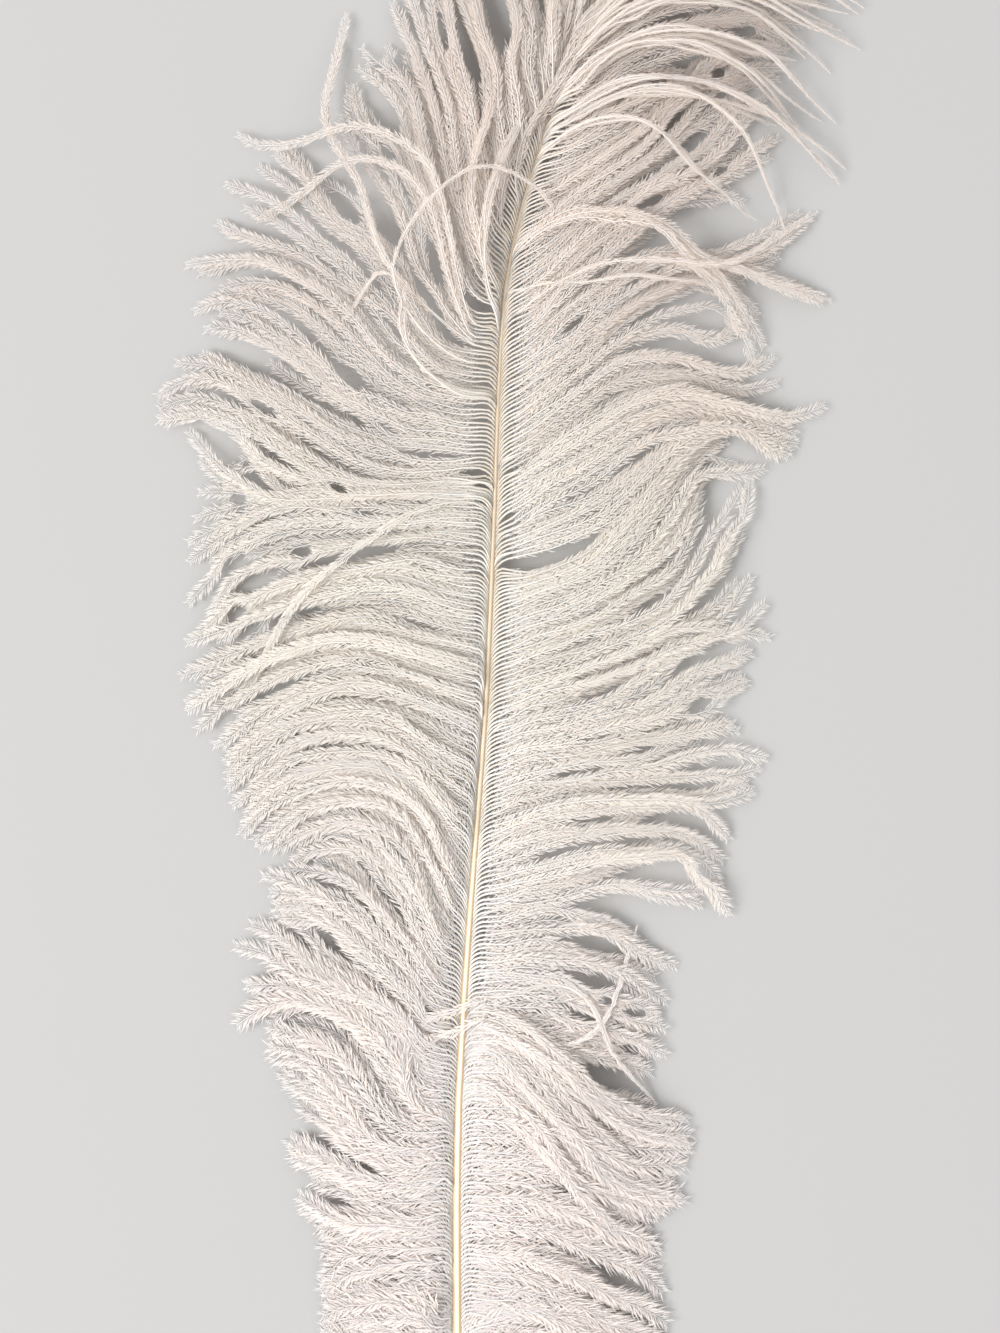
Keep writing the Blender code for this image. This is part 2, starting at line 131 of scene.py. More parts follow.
# %% The locks of the left vane, from the quill up
LEFT_FLOW = (
    (1535, 3, (446, 1520), (430, 1510), (416, 1507)),
    (1510, 4, (438, 1488), (412, 1478), (392, 1478)),
    (1482, 5, (428, 1456), (390, 1440), (362, 1438)),
    (1452, 6, (418, 1424), (376, 1404), (342, 1400)),
    (1424, 6, (412, 1396), (366, 1374), (330, 1366)),
    (1396, 7, (408, 1366), (358, 1342), (322, 1332)),
    (1366, 8, (405, 1338), (360, 1316), (328, 1302)),
    (1338, 7, (405, 1310), (362, 1286), (318, 1286)),
    (1310, 7, (436, 1306), (398, 1300), (358, 1304), (320, 1318)),
    (1284, 8, (438, 1280), (400, 1272), (358, 1276), (320, 1298)),
    (1262, 7, (437, 1257), (396, 1250), (354, 1258), (320, 1281)),
    (1244, 8, (437, 1239), (396, 1231), (356, 1234), (320, 1250)),
    (1228, 9, (437, 1224), (398, 1224), (358, 1223), (324, 1213), (290, 1197)),
    (1210, 7, (437, 1207), (400, 1204), (364, 1193), (332, 1174), (298, 1153)),
    (1194, 9, (437, 1191), (402, 1188), (368, 1178), (334, 1156), (308, 1141), (280, 1131)),
    (1178, 8, (437, 1175), (402, 1171), (364, 1154), (330, 1128), (297, 1104)),
    (1162, 9, (437, 1160), (402, 1157), (366, 1146), (338, 1124), (314, 1100), (281, 1075)),
    (1148, 8, (438, 1147), (402, 1144), (370, 1130), (345, 1103), (322, 1076), (294, 1058),
     (264, 1050)),
    (1134, 9, (438, 1131), (408, 1126), (382, 1108), (360, 1080), (338, 1055), (306, 1036),
     (262, 1030)),
    (1121, 8, (438, 1118), (412, 1110), (392, 1086), (372, 1052), (346, 1022), (312, 1004),
     (276, 1010)),
    (1107, 11, (438, 1103), (414, 1090), (396, 1060), (372, 1030), (340, 1008), (290, 998),
     (250, 1011), (220, 1040)),
    (1091, 9, (439, 1086), (417, 1072), (398, 1044), (370, 1018), (332, 1000), (290, 988), (245, 985)),
    (1075, 10, (440, 1069), (420, 1056), (402, 1028), (374, 1004), (334, 986), (298, 968), (266, 950),
     (232, 942)),
    (1057, 8, (440, 1050), (422, 1036), (403, 1010), (376, 988), (342, 966), (318, 942), (298, 922),
     (266, 918)),
    (1039, 9, (441, 1031), (424, 1017), (405, 992), (380, 966), (352, 944), (326, 920), (302, 906),
     (274, 905)),
    (1020, 8, (443, 1011), (426, 996), (407, 970), (384, 944), (352, 918), (322, 898), (290, 884),
     (258, 878)),
    (999, 8, (445, 989), (429, 973), (411, 945), (390, 917), (364, 892), (334, 876), (304, 868),
     (276, 870)),
    (976, 9, (447, 964), (432, 947), (415, 918), (397, 886), (376, 858), (345, 842), (312, 850),
     (284, 868)),
    (951, 10, (450, 938), (436, 915), (420, 880), (402, 846), (374, 822), (340, 818), (305, 832),
     (274, 856)),
    (926, 9, (453, 910), (439, 880), (420, 842), (396, 812), (360, 799), (318, 806), (280, 830),
     (250, 852)),
    (902, 11, (456, 884), (441, 850), (421, 812), (392, 789), (350, 781), (304, 796), (262, 818),
     (236, 846)),
    (872, 8, (462, 858), (448, 834), (432, 808), (410, 785), (382, 769), (350, 764), (305, 772),
     (262, 796), (238, 822)),
    (842, 10, (467, 826), (452, 810), (436, 792), (418, 773), (395, 760), (362, 751), (325, 751),
     (285, 762), (250, 785), (228, 804)),
    (816, 9, (469, 799), (451, 783), (430, 766), (408, 748), (383, 737), (350, 732), (312, 736),
     (272, 752), (240, 778), (220, 796)),
    (790, 9, (470, 772), (450, 757), (425, 741), (398, 724), (370, 715), (335, 715), (300, 724),
     (262, 745), (238, 765), (216, 785)),
    (770, 8, (473, 752), (453, 738), (428, 723), (400, 709), (368, 702), (335, 704), (296, 718),
     (255, 742), (222, 775)),
    (750, 9, (475, 732), (455, 719), (430, 706), (400, 695), (365, 689), (335, 694), (290, 712),
     (246, 738), (217, 760)),
    (733, 8, (477, 716), (458, 704), (430, 692), (400, 683), (368, 675), (338, 675), (296, 688),
     (246, 712), (205, 742)),
    (716, 8, (479, 701), (460, 690), (430, 679), (400, 671), (370, 662), (340, 658), (300, 668),
     (245, 692), (190, 730)),
    (688, 10, (480, 673), (460, 664), (430, 656), (400, 646), (370, 639), (335, 640), (298, 650),
     (240, 676), (180, 712)),
    (658, 8, (480, 646), (460, 638), (430, 631), (400, 621), (370, 615), (335, 617), (298, 629),
     (240, 650), (183, 666)),
    (626, 10, (480, 616), (460, 608), (435, 600), (410, 591), (380, 587), (350, 591), (300, 603),
     (240, 626), (182, 642)),
    (588, 8, (478, 580), (460, 575), (430, 569), (400, 566), (352, 573), (285, 584), (232, 606),
     (190, 640)),
    (562, 9, (480, 549), (455, 541), (425, 537), (395, 541), (350, 548), (280, 560), (230, 588),
     (205, 628)),
    (543, 8, (480, 530), (455, 524), (430, 522), (404, 528), (350, 526), (275, 534), (216, 568),
     (178, 610)),
    (528, 10, (478, 517), (450, 513), (405, 517), (350, 513), (280, 514), (220, 540), (180, 578)),
    (519, 8, (475, 508), (440, 505), (400, 506), (350, 500), (280, 502), (228, 520), (187, 536)),
    (513, 9, (470, 500), (405, 497), (345, 490), (280, 494), (230, 508), (180, 521)),
    (506, 9, (455, 494), (385, 496), (315, 503), (264, 503), (234, 480), (206, 446), (176, 417)),
    (492, 9, (455, 484), (400, 487), (348, 478), (305, 456), (265, 428), (228, 411), (188, 404),
     (140, 428)),
    (478, 9, (455, 471), (402, 472), (350, 460), (304, 430), (264, 402), (230, 379), (195, 371),
     (150, 388)),
    (462, 9, (452, 455), (404, 453), (352, 438), (300, 410), (240, 374), (176, 334)),
    (445, 8, (452, 437), (404, 430), (360, 408), (315, 374), (270, 340), (234, 324), (202, 328)),
    (430, 10, (450, 422), (407, 412), (366, 394), (328, 368), (288, 332), (250, 310), (216, 303),
     (183, 315)),
    (417, 9, (452, 408), (412, 397), (376, 370), (336, 326), (292, 290), (250, 278), (214, 282)),
    (407, 11, (455, 396), (420, 386), (384, 358), (350, 320), (310, 286), (262, 264), (183, 266)),
    (399, 10, (456, 388), (424, 378), (388, 350), (352, 310), (308, 272), (250, 250), (182, 253)),
    (391, 8, (458, 381), (428, 370), (394, 338), (354, 296), (308, 264), (258, 246), (212, 229)),
    (384, 9, (460, 374), (431, 362), (400, 328), (358, 282), (312, 240), (270, 206), (208, 182)),
    (376, 8, (462, 366), (435, 352), (406, 316), (372, 270), (334, 228), (298, 198), (252, 174)),
    (368, 10, (464, 358), (438, 342), (412, 304), (382, 258), (342, 212), (300, 172), (260, 126)),
    (360, 8, (466, 350), (442, 332), (419, 292), (392, 244), (354, 208), (320, 182), (293, 153)),
    (350, 9, (468, 341), (445, 320), (425, 278), (404, 228), (374, 178), (352, 138), (346, 100)),
    (340, 10, (471, 331), (450, 307), (432, 262), (416, 206), (392, 150), (364, 104), (352, 66)),
    (328, 8, (474, 319), (455, 294), (440, 248), (426, 192), (408, 135), (386, 92), (362, 64)),
    (314, 10, (478, 304), (461, 276), (447, 228), (434, 172), (418, 112), (396, 60), (372, 22)),
    (300, 8, (482, 288), (467, 258), (455, 208), (443, 150), (428, 92), (408, 40), (390, -5)),
    (284, 10, (487, 270), (473, 238), (462, 190), (452, 132), (438, 74), (420, 20), (402, -30)),
    (266, 8, (491, 248), (479, 212), (470, 164), (460, 106), (447, 50), (430, -8), (414, -55)),
    (246, 10, (497, 228), (486, 190), (477, 140), (468, 82), (456, 25), (442, -35), (430, -75)),
    (222, 8, (504, 200), (494, 160), (486, 108), (478, 52), (468, -5), (458, -70)),
    (196, 10, (511, 172), (503, 128), (496, 76), (490, 20), (484, -35), (478, -88)),
    (168, 11, (522, 140), (514, 94), (508, 42), (504, -14), (502, -95)),
    (138, 8, (535, 106), (527, 58), (518, 6), (514, -50), (520, -108)),
    (106, 11, (548, 70), (548, 28), (553, -20), (568, -74), (596, -124)),
    (72, 8, (566, 38), (574, -4), (594, -48), (630, -96)),
    (38, 10, (582, 4), (602, -38), (632, -78), (680, -114)),
    (0, 8, (604, -30), (630, -64), (668, -92), (722, -108)),
)

# %% The locks of the right vane, from the quill up
RIGHT_FLOW = (
    (1535, 3, (468, 1524), (486, 1516), (500, 1517)),
    (1510, 4, (478, 1492), (512, 1482), (538, 1488)),
    (1482, 5, (490, 1460), (536, 1450), (572, 1458)),
    (1452, 6, (496, 1428), (548, 1420), (598, 1436)),
    (1424, 6, (498, 1398), (556, 1392), (615, 1410)),
    (1396, 7, (500, 1370), (560, 1366), (618, 1382), (645, 1402)),
    (1366, 8, (500, 1342), (562, 1340), (622, 1356), (660, 1378)),
    (1338, 7, (500, 1314), (560, 1312), (622, 1330), (668, 1350)),
    (1310, 9, (491, 1306), (530, 1310), (582, 1336), (634, 1362), (668, 1386)),
    (1284, 7, (492, 1279), (532, 1282), (585, 1306), (638, 1334), (668, 1352)),
    (1258, 9, (492, 1252), (534, 1256), (590, 1280), (640, 1308), (667, 1330)),
    (1232, 7, (492, 1225), (536, 1228), (590, 1248), (640, 1276), (665, 1300)),
    (1206, 8, (492, 1198), (536, 1200), (590, 1218), (635, 1236), (658, 1256)),
    (1180, 9, (492, 1172), (536, 1172), (590, 1188), (640, 1206), (672, 1212)),
    (1154, 7, (492, 1146), (536, 1148), (592, 1168), (645, 1188), (686, 1190)),
    (1130, 9, (492, 1122), (534, 1126), (590, 1148), (645, 1168), (691, 1172)),
    (1106, 8, (492, 1098), (530, 1102), (585, 1128), (640, 1150), (697, 1156)),
    (1082, 9, (493, 1073), (530, 1078), (580, 1104), (635, 1128), (695, 1136)),
    (1060, 8, (494, 1051), (530, 1058), (578, 1082), (625, 1100), (656, 1108)),
    (1038, 10, (494, 1030), (532, 1034), (580, 1050), (625, 1064), (657, 1074)),
    (1014, 8, (495, 1005), (535, 1006), (585, 1022), (632, 1038), (672, 1060)),
    (990, 9, (496, 980), (540, 980), (595, 1000), (640, 1020), (668, 1034)),
    (966, 8, (499, 957), (548, 953), (604, 966), (642, 980), (672, 1000)),
    (940, 9, (502, 930), (552, 921), (606, 930), (642, 950), (680, 966)),
    (918, 8, (504, 906), (556, 893), (612, 884), (660, 890), (706, 902)),
    (896, 11, (507, 882), (560, 866), (620, 855), (680, 856), (712, 882), (738, 922)),
    (872, 8, (514, 848), (565, 832), (625, 826), (682, 828), (722, 856)),
    (852, 9, (515, 830), (567, 814), (626, 808), (690, 810), (733, 840)),
    (836, 10, (516, 814), (565, 802), (615, 798), (660, 800), (705, 803), (738, 798), (765, 788)),
    (821, 8, (517, 799), (566, 787), (610, 783), (655, 778), (700, 775), (735, 773), (763, 768)),
    (806, 9, (519, 784), (566, 774), (610, 768), (650, 761), (685, 752), (720, 747), (750, 749),
     (769, 757)),
    (791, 8, (520, 769), (566, 759), (610, 750), (650, 739), (690, 731), (716, 727), (742, 728)),
    (775, 9, (521, 753), (566, 744), (612, 734), (650, 724), (682, 712), (712, 702), (735, 693),
     (752, 685)),
    (759, 10, (522, 737), (566, 728), (610, 716), (646, 703), (676, 688), (702, 672), (730, 657),
     (757, 645)),
    (743, 8, (523, 721), (566, 711), (608, 698), (642, 683), (672, 663), (702, 643), (735, 634),
     (776, 639)),
    (727, 10, (524, 705), (566, 694), (606, 680), (642, 665), (675, 650), (706, 641), (734, 634),
     (755, 620), (773, 603)),
    (712, 8, (525, 690), (566, 678), (606, 662), (642, 646), (674, 634), (702, 632), (724, 620),
     (740, 600), (753, 579)),
    (697, 10, (525, 676), (566, 664), (606, 648), (645, 632), (676, 614), (700, 594), (714, 570),
     (727, 540), (741, 506), (748, 469)),
    (681, 8, (526, 660), (566, 647), (606, 631), (643, 613), (672, 594), (692, 572), (706, 546),
     (721, 516), (741, 480)),
    (665, 9, (526, 644), (566, 631), (605, 614), (640, 595), (666, 574), (684, 552), (696, 526),
     (702, 500), (704, 478)),
    (649, 8, (527, 628), (566, 614), (603, 597), (636, 577), (660, 556), (680, 532), (692, 506),
     (698, 478), (706, 452)),
    (633, 10, (527, 612), (566, 598), (602, 581), (632, 561), (656, 538), (676, 514), (690, 492),
     (714, 474), (745, 465), (776, 462)),
    (617, 8, (528, 596), (566, 582), (600, 564), (628, 544), (650, 522), (668, 498), (684, 474),
     (700, 452), (724, 438)),
    (601, 9, (528, 582), (566, 567), (598, 550), (624, 530), (646, 506), (666, 480), (686, 456),
     (710, 436), (738, 428)),
    (587, 8, (529, 570), (566, 557), (597, 540), (624, 518), (648, 492), (672, 466), (698, 444),
     (732, 434), (764, 446), (790, 461)),
    (574, 9, (520, 568), (560, 560), (590, 546), (622, 520), (648, 492), (676, 462), (706, 438),
     (740, 430), (772, 440), (797, 452)),
    (556, 8, (530, 536), (568, 522), (602, 502), (634, 474), (664, 446), (698, 424), (736, 418),
     (774, 432), (803, 441)),
    (532, 10, (530, 505), (584, 476), (636, 446), (685, 428), (735, 430), (792, 455)),
    (512, 8, (530, 486), (582, 457), (632, 425), (682, 408), (738, 414), (803, 437)),
    (490, 11, (530, 465), (580, 435), (630, 404), (685, 391), (745, 404), (796, 414), (835, 395)),
    (470, 8, (530, 444), (578, 412), (628, 381), (680, 372), (730, 384), (775, 380)),
    (450, 9, (530, 424), (577, 391), (626, 360), (676, 356), (730, 372), (777, 352)),
    (430, 8, (531, 404), (576, 369), (622, 334), (668, 310), (712, 314), (757, 336)),
    (412, 9, (532, 386), (577, 351), (622, 314), (668, 284), (708, 282), (746, 302)),
    (394, 11, (533, 368), (578, 335), (624, 300), (670, 271), (720, 262), (776, 278), (833, 300)),
    (374, 8, (534, 347), (577, 312), (620, 277), (668, 258), (720, 262), (770, 244), (819, 208)),
    (354, 10, (535, 326), (573, 290), (613, 250), (658, 214), (705, 196), (748, 206)),
    (334, 8, (515, 320), (540, 303), (566, 276), (602, 240), (648, 213), (694, 190), (742, 160),
     (785, 130)),
    (312, 10, (517, 299), (544, 278), (576, 248), (616, 214), (662, 188), (700, 168), (740, 132),
     (757, 96)),
    (290, 8, (520, 277), (546, 257), (582, 226), (626, 196), (668, 172), (710, 134), (744, 92),
     (772, 72)),
    (266, 10, (524, 252), (551, 231), (590, 200), (638, 166), (672, 138), (706, 92), (738, 58),
     (752, 34)),
    (240, 8, (529, 227), (556, 208), (595, 181), (640, 150), (680, 110), (716, 70), (742, 44),
     (768, 25)),
    (212, 10, (535, 200), (561, 186), (600, 163), (642, 132), (682, 98), (724, 64), (772, 32)),
    (184, 8, (543, 173), (567, 163), (602, 147), (638, 123), (680, 95), (726, 64), (768, 42)),
    (156, 10, (552, 146), (577, 136), (608, 116), (644, 96), (694, 80), (746, 68), (796, 62)),
    (128, 8, (560, 118), (584, 108), (612, 90), (646, 70), (694, 54), (744, 46), (794, 52)),
    (98, 10, (570, 88), (594, 76), (622, 56), (656, 38), (704, 26), (754, 18), (806, 22)),
    (66, 8, (583, 53), (608, 39), (638, 21), (676, 6), (724, -2), (774, -6), (830, 2)),
    (34, 10, (599, 20), (624, 3), (658, -16), (704, -30), (760, -32), (824, -22)),
    (0, 8, (620, -16), (648, -37), (690, -56), (746, -64), (812, -56)),
    (-34, 9, (645, -56), (678, -78), (724, -94), (782, -92)),
)

# %% [markdown]
# ## Locks and wisps that lie on top
# Some locks don't follow their neighbours: they cross over them, or sweep across the top and
# hang down. They are made as small bunches of their own, and a bunch of one barb is a stray wisp.
# Each row is: the side (-1 left, 1 right), the pixel row of the root, the crest in millimetres, the
# number of barbs, how far their barbules are folded in (0 open, 1 shut), and the points.

# %% The bunches that cross over
OVER = (
    (-1, 522, 13, 1, 0.3, (470, 504), (430, 508), (398, 521), (365, 543), (335, 568), (302, 598),
     (276, 632), (252, 680), (226, 712)),
    (-1, 503, 9, 3, 0.0, (455, 491), (395, 494), (345, 500), (305, 502), (282, 490), (262, 468),
     (248, 446), (236, 426)),
    (-1, 497, 10, 4, 0.0, (455, 488), (400, 490), (352, 488), (322, 478), (300, 455), (280, 434),
     (262, 418), (240, 408)),
    (-1, 500, 8, 2, 0.0, (455, 492), (400, 494), (340, 494), (300, 482), (262, 466), (244, 466),
     (230, 482), (228, 512)),
    (-1, 250, 8, 3, 0.2, (500, 226), (502, 190), (510, 155), (528, 118), (552, 84), (584, 44),
     (622, 2)),
    (-1, 205, 7, 3, 0.2, (516, 180), (524, 148), (540, 114), (562, 80), (592, 42), (632, 2)),
    (-1, 170, 7, 4, 0.2, (528, 145), (544, 112), (566, 78), (596, 42), (636, 6), (690, -24)),
    (-1, 135, 7, 4, 0.3, (544, 108), (562, 76), (588, 44), (622, 12), (668, -14)),
    (-1, 100, 8, 4, 0.3, (558, 74), (580, 42), (610, 10), (650, -16), (704, -34)),
    (-1, 66, 8, 4, 0.3, (572, 42), (598, 10), (634, -16), (684, -34), (744, -42)),
    (-1, 372, 24, 1, 1, (455, 358), (415, 325), (393, 280), (408, 235), (445, 193), (482, 173),
     (530, 187), (562, 222), (580, 250), (590, 278)),
    (-1, 404, 19, 2, 1, (455, 392), (420, 368), (403, 335), (404, 300), (388, 276), (368, 290),
     (345, 318), (312, 345)),
    (-1, 330, 17, 3, 0.8, (489, 296), (484, 250), (488, 206), (500, 168), (524, 124), (553, 92),
     (582, 64)),
    (-1, 300, 15, 3, 0.3, (484, 258), (472, 215), (473, 180), (482, 140), (490, 105), (489, 80),
     (482, 50), (470, 10)),
    (-1, 1132, 9, 4, 0.1, (440, 1120), (418, 1106), (404, 1076), (401, 1040), (410, 1004), (428, 968),
     (450, 934)),
    (1, 1022, 9, 1, 0.3, (486, 1004), (464, 1006), (440, 1014), (420, 1024), (404, 1042), (397, 1066)),
    (1, 1044, 9, 1, 0.3, (484, 1022), (461, 1027), (437, 1037), (416, 1051), (405, 1077)),
    (-1, 345, 15, 1, 0.3, (470, 336), (454, 295), (441, 245), (424, 200), (396, 168), (352, 163),
     (300, 194), (256, 219)),
    (-1, 336, 17, 1, 0.2, (472, 324), (459, 280), (449, 225), (432, 176), (400, 146), (352, 130),
     (300, 142), (262, 144), (237, 132)),
    (-1, 354, 12, 2, 0.3, (467, 342), (438, 318), (403, 282), (378, 245), (360, 188), (338, 150),
     (326, 115), (332, 75), (345, 10)),
    (-1, 1326, 9, 7, 0.0, (440, 1328), (424, 1312), (400, 1306), (378, 1316), (366, 1340)),
    (1, 1050, 12, 9, 0.3, (492, 1042), (522, 1064), (562, 1106), (602, 1152), (632, 1194), (645, 1238)),
    (1, 1072, 11, 7, 0.3, (492, 1066), (522, 1086), (562, 1124), (606, 1166), (650, 1190), (688, 1196)),
    (1, 1030, 12, 8, 0.3, (494, 1024), (530, 1040), (572, 1072), (614, 1108), (648, 1124), (694, 1138)),
    (1, 1098, 11, 6, 0.3, (491, 1092), (518, 1112), (554, 1150), (590, 1190), (628, 1226), (657, 1253)),
    (1, 1056, 8, 1, 1, (500, 1040), (545, 1043), (580, 1040), (604, 1022), (617, 993), (625, 962),
     (637, 928)),
    (1, 1010, 9, 1, 1, (500, 996), (540, 984), (574, 990), (597, 1015), (611, 1046), (628, 1074),
     (655, 1105)),
    (1, 300, 14, 1, 0.9, (540, 288), (592, 283), (650, 279), (700, 284), (745, 304)),
    (1, 330, 16, 1, 0.5, (540, 298), (600, 268), (660, 262), (715, 268), (748, 258), (775, 238),
     (819, 208)),
    (1, 262, 15, 3, 0.1, (535, 236), (565, 220), (600, 213), (640, 219), (668, 235), (695, 265),
     (722, 298), (745, 335), (757, 362)),
    (1, 254, 14, 2, 0.3, (540, 230), (580, 214), (630, 214), (668, 234), (700, 260), (740, 270),
     (833, 300)),
    (1, 165, 20, 2, 1, (560, 143), (590, 130), (622, 124), (645, 130), (672, 150), (700, 178),
     (735, 203), (758, 218)),
    (1, 150, 18, 2, 1, (562, 128), (600, 105), (645, 92), (690, 98), (735, 128), (752, 150),
     (766, 180), (776, 205), (789, 242)),
    (1, 145, 15, 2, 0.8, (563, 128), (600, 108), (645, 98), (700, 100), (750, 112), (800, 124)),
    (1, 140, 18, 2, 1, (560, 122), (600, 98), (640, 84), (690, 86), (740, 102), (780, 124), (842, 181)),
    (1, 135, 17, 2, 1, (563, 118), (602, 94), (645, 82), (695, 87), (745, 104), (785, 125), (848, 167)),
    (1, 122, 15, 1, 1, (566, 100), (604, 68), (645, 52), (700, 56), (745, 70), (780, 92), (823, 118)),
    (1, 118, 18, 3, 1, (566, 98), (604, 64), (640, 46), (690, 46), (730, 62), (757, 82), (808, 131)),
    (1, 112, 14, 2, 0.8, (568, 92), (606, 60), (650, 44), (700, 43), (745, 51), (798, 60)),
    (1, 105, 19, 2, 1, (572, 84), (608, 54), (650, 38), (700, 38), (745, 50), (778, 67), (837, 122)),
    (1, 98, 13, 1, 1, (576, 78), (613, 48), (655, 35), (700, 33), (740, 40), (765, 45)),
    (1, 80, 18, 3, 1, (582, 58), (616, 26), (660, 8), (705, 4), (745, 13), (782, 29), (833, 68)),
    (1, 70, 17, 3, 1, (586, 48), (622, 18), (670, 0), (720, -4), (765, 8), (805, 24), (852, 33)),
    (1, 62, 18, 2, 1, (590, 38), (626, 6), (676, -10), (730, -8), (780, 10), (820, 28), (861, 48)),
    (1, 48, 15, 3, 1, (596, 24), (632, -4), (680, -20), (735, -20), (790, 0), (850, 7)),
    (1, 36, 16, 2, 1, (600, 12), (640, -18), (690, -36), (750, -36), (810, -20), (865, 6)),
    (1, 20, 14, 3, 1, (612, -8), (650, -34), (700, -52), (760, -54), (820, -36), (862, -14)),
)
print("bunches on top:", len(OVER), "with", sum(row[3] for row in OVER), "barbs in all")

# %% [markdown]
# ## Slits
# Here and there the barbs have parted and one sees right through the vane. Each slit is a thin
# ellipse: its middle in pixels, half its length, half its width, and its slope in degrees,
# counted up from the right. Cutting holes into the finished hair would leave stumps, so barbs are
# pushed aside around a slit instead, and the barbules inside it are made shorter.

# %% Where the vane has parted
SLITS = np.array(
    (
        # left of the shaft
        (496, 5, 55, 12, 108), (468, 50, 45, 7, 110), (443, 28, 30, 5, 100), (399, 62, 12, 6, 110),
        (392, 17, 10, 4, 90), (372, 48, 26, 8, 112), (380, 103, 36, 11, 128), (387, 152, 9, 6, 140),
        (364, 147, 9, 6, 120), (343, 205, 30, 11, 125), (385, 224, 28, 6, 112), (434, 262, 30, 6, 100),
        (403, 277, 20, 4, 100), (376, 290, 9, 4, 90), (458, 276, 14, 3, 110), (436, 314, 36, 6, 116),
        (452, 338, 18, 4, 150), (475, 307, 24, 5, 138), (351, 380, 16, 8, 130), (406, 404, 15, 4, 132),
        (389, 430, 16, 4, 138), (392, 330, 20, 3, 108), (425, 367, 14, 3, 128), (263, 408, 20, 5, 146),
        (338, 489, 15, 5, 142), (432, 457, 34, 4, 176), (470, 473, 16, 3, 178), (300, 551, 13, 8, 155),
        (248, 583, 12, 8, 60), (285, 578, 9, 4, 140), (368, 518, 13, 4, 20), (382, 553, 26, 3, 178),
        (236, 502, 16, 9, 100), (232, 450, 30, 8, 130), (208, 430, 22, 6, 150), (232, 562, 18, 6, 35),
        (235, 612, 14, 7, 30), (250, 630, 18, 5, 25), (226, 718, 10, 7, 20), (312, 859, 9, 4, 160),
        (356, 857, 12, 3, 118), (326, 886, 12, 3, 148), (296, 664, 9, 3, 40), (372, 664, 22, 3, 172),
        (336, 695, 16, 3, 10), (405, 622, 24, 3, 155), (490, 347, 9, 2, 176), (490, 366, 9, 2, 174),
        (491, 384, 9, 2, 174), (489, 405, 8, 2, 170), (488, 421, 8, 2, 168), (485, 487, 10, 2, 165),
        (347, 906, 8, 3, 150), (316, 911, 13, 3, 146), (336, 938, 14, 3, 130), (366, 937, 14, 3, 142),
        (312, 951, 10, 3, 140), (301, 971, 16, 3, 142), (301, 1073, 14, 3, 140),
        (412, 1112, 18, 2, 158), (402, 1157, 20, 2, 176), (385, 1187, 28, 2, 174),
        (345, 1170, 22, 2, 146), (430, 1015, 12, 3, 130),
        # right of the shaft
        (748, 30, 18, 6, 30), (720, 74, 11, 8, 70), (752, 92, 13, 7, 60), (695, 141, 17, 7, 52),
        (672, 119, 18, 4, 32), (738, 152, 14, 3, 35), (653, 202, 17, 5, 33), (722, 170, 12, 5, 40),
        (708, 195, 12, 4, 50), (596, 100, 14, 3, 38), (565, 295, 14, 3, 66), (572, 326, 18, 4, 60),
        (586, 342, 18, 4, 60), (695, 296, 9, 5, 50), (712, 318, 22, 13, 20), (664, 345, 14, 4, 74),
        (735, 350, 18, 9, 40), (702, 392, 10, 4, 20), (606, 396, 14, 3, 42), (684, 427, 20, 4, 34),
        (738, 452, 26, 9, 10), (716, 495, 18, 11, 60), (734, 508, 10, 5, 62), (668, 540, 24, 3, 60),
        (555, 556, 50, 8, 21), (709, 568, 15, 3, 80), (697, 600, 20, 4, 68), (648, 600, 20, 4, 26),
        (585, 641, 16, 3, 30), (720, 648, 17, 5, 25), (646, 655, 22, 3, 32), (690, 684, 18, 4, 48),
        (640, 686, 22, 3, 28), (700, 707, 15, 8, 50), (612, 733, 42, 3, 17), (640, 750, 14, 3, 5),
        (576, 769, 40, 3, 14), (730, 761, 15, 6, 0), (692, 770, 14, 3, 6), (690, 787, 12, 3, 2),
        (602, 805, 24, 3, 8), (646, 822, 16, 3, 14), (692, 823, 10, 5, 10), (630, 843, 15, 4, 14),
        (560, 851, 42, 3, 20), (674, 869, 17, 8, 36), (706, 872, 9, 6, 120), (598, 905, 36, 4, 15),
        (640, 868, 20, 2, 20), (587, 984, 13, 4, 178), (607, 1001, 9, 6, 170), (572, 1010, 18, 4, 160),
        (545, 995, 16, 3, 165), (604, 1080, 24, 6, 148), (650, 979, 12, 4, 172),
        (636, 1014, 14, 5, 172), (633, 1051, 12, 5, 158), (652, 1133, 14, 3, 165),
        (656, 1178, 11, 4, 0), (616, 1226, 20, 4, 168), (572, 1228, 14, 3, 178),
        (576, 1268, 14, 3, 170), (524, 1130, 9, 2, 145), (505, 1193, 26, 2, 164),
        (605, 1311, 15, 3, 165),
    ),
    float,
)
SLIT_PLACE = np.stack([(SLITS[:, 0] - MIDDLE_X) * PIXEL, (MIDDLE_Y - SLITS[:, 1]) * PIXEL], 1)
SLIT_HALF = SLITS[:, 2:4] * PIXEL
SLIT_WAY = np.radians(SLITS[:, 4])
print("slits:", len(SLITS), "the longest", round(2000 * SLIT_HALF[:, 0].max()), "mm")

# %% [markdown]
# ## From a few points to a smooth route
# A lock has no corners, so its points are joined by a Catmull-Rom curve, which passes through
# each of them. The curve is then cut into even steps, so that two locks can be blended step by
# step although their points differ in number.

# %% A smooth route
FINE_STEPS = 14  # between two given points
GUIDE_STEPS = 64  # along a whole lock


def along_route(route):
    """How far each point of a route is from its start, along the route."""
    return np.append(0, np.cumsum(np.linalg.norm(np.diff(route, axis=0), axis=1)))


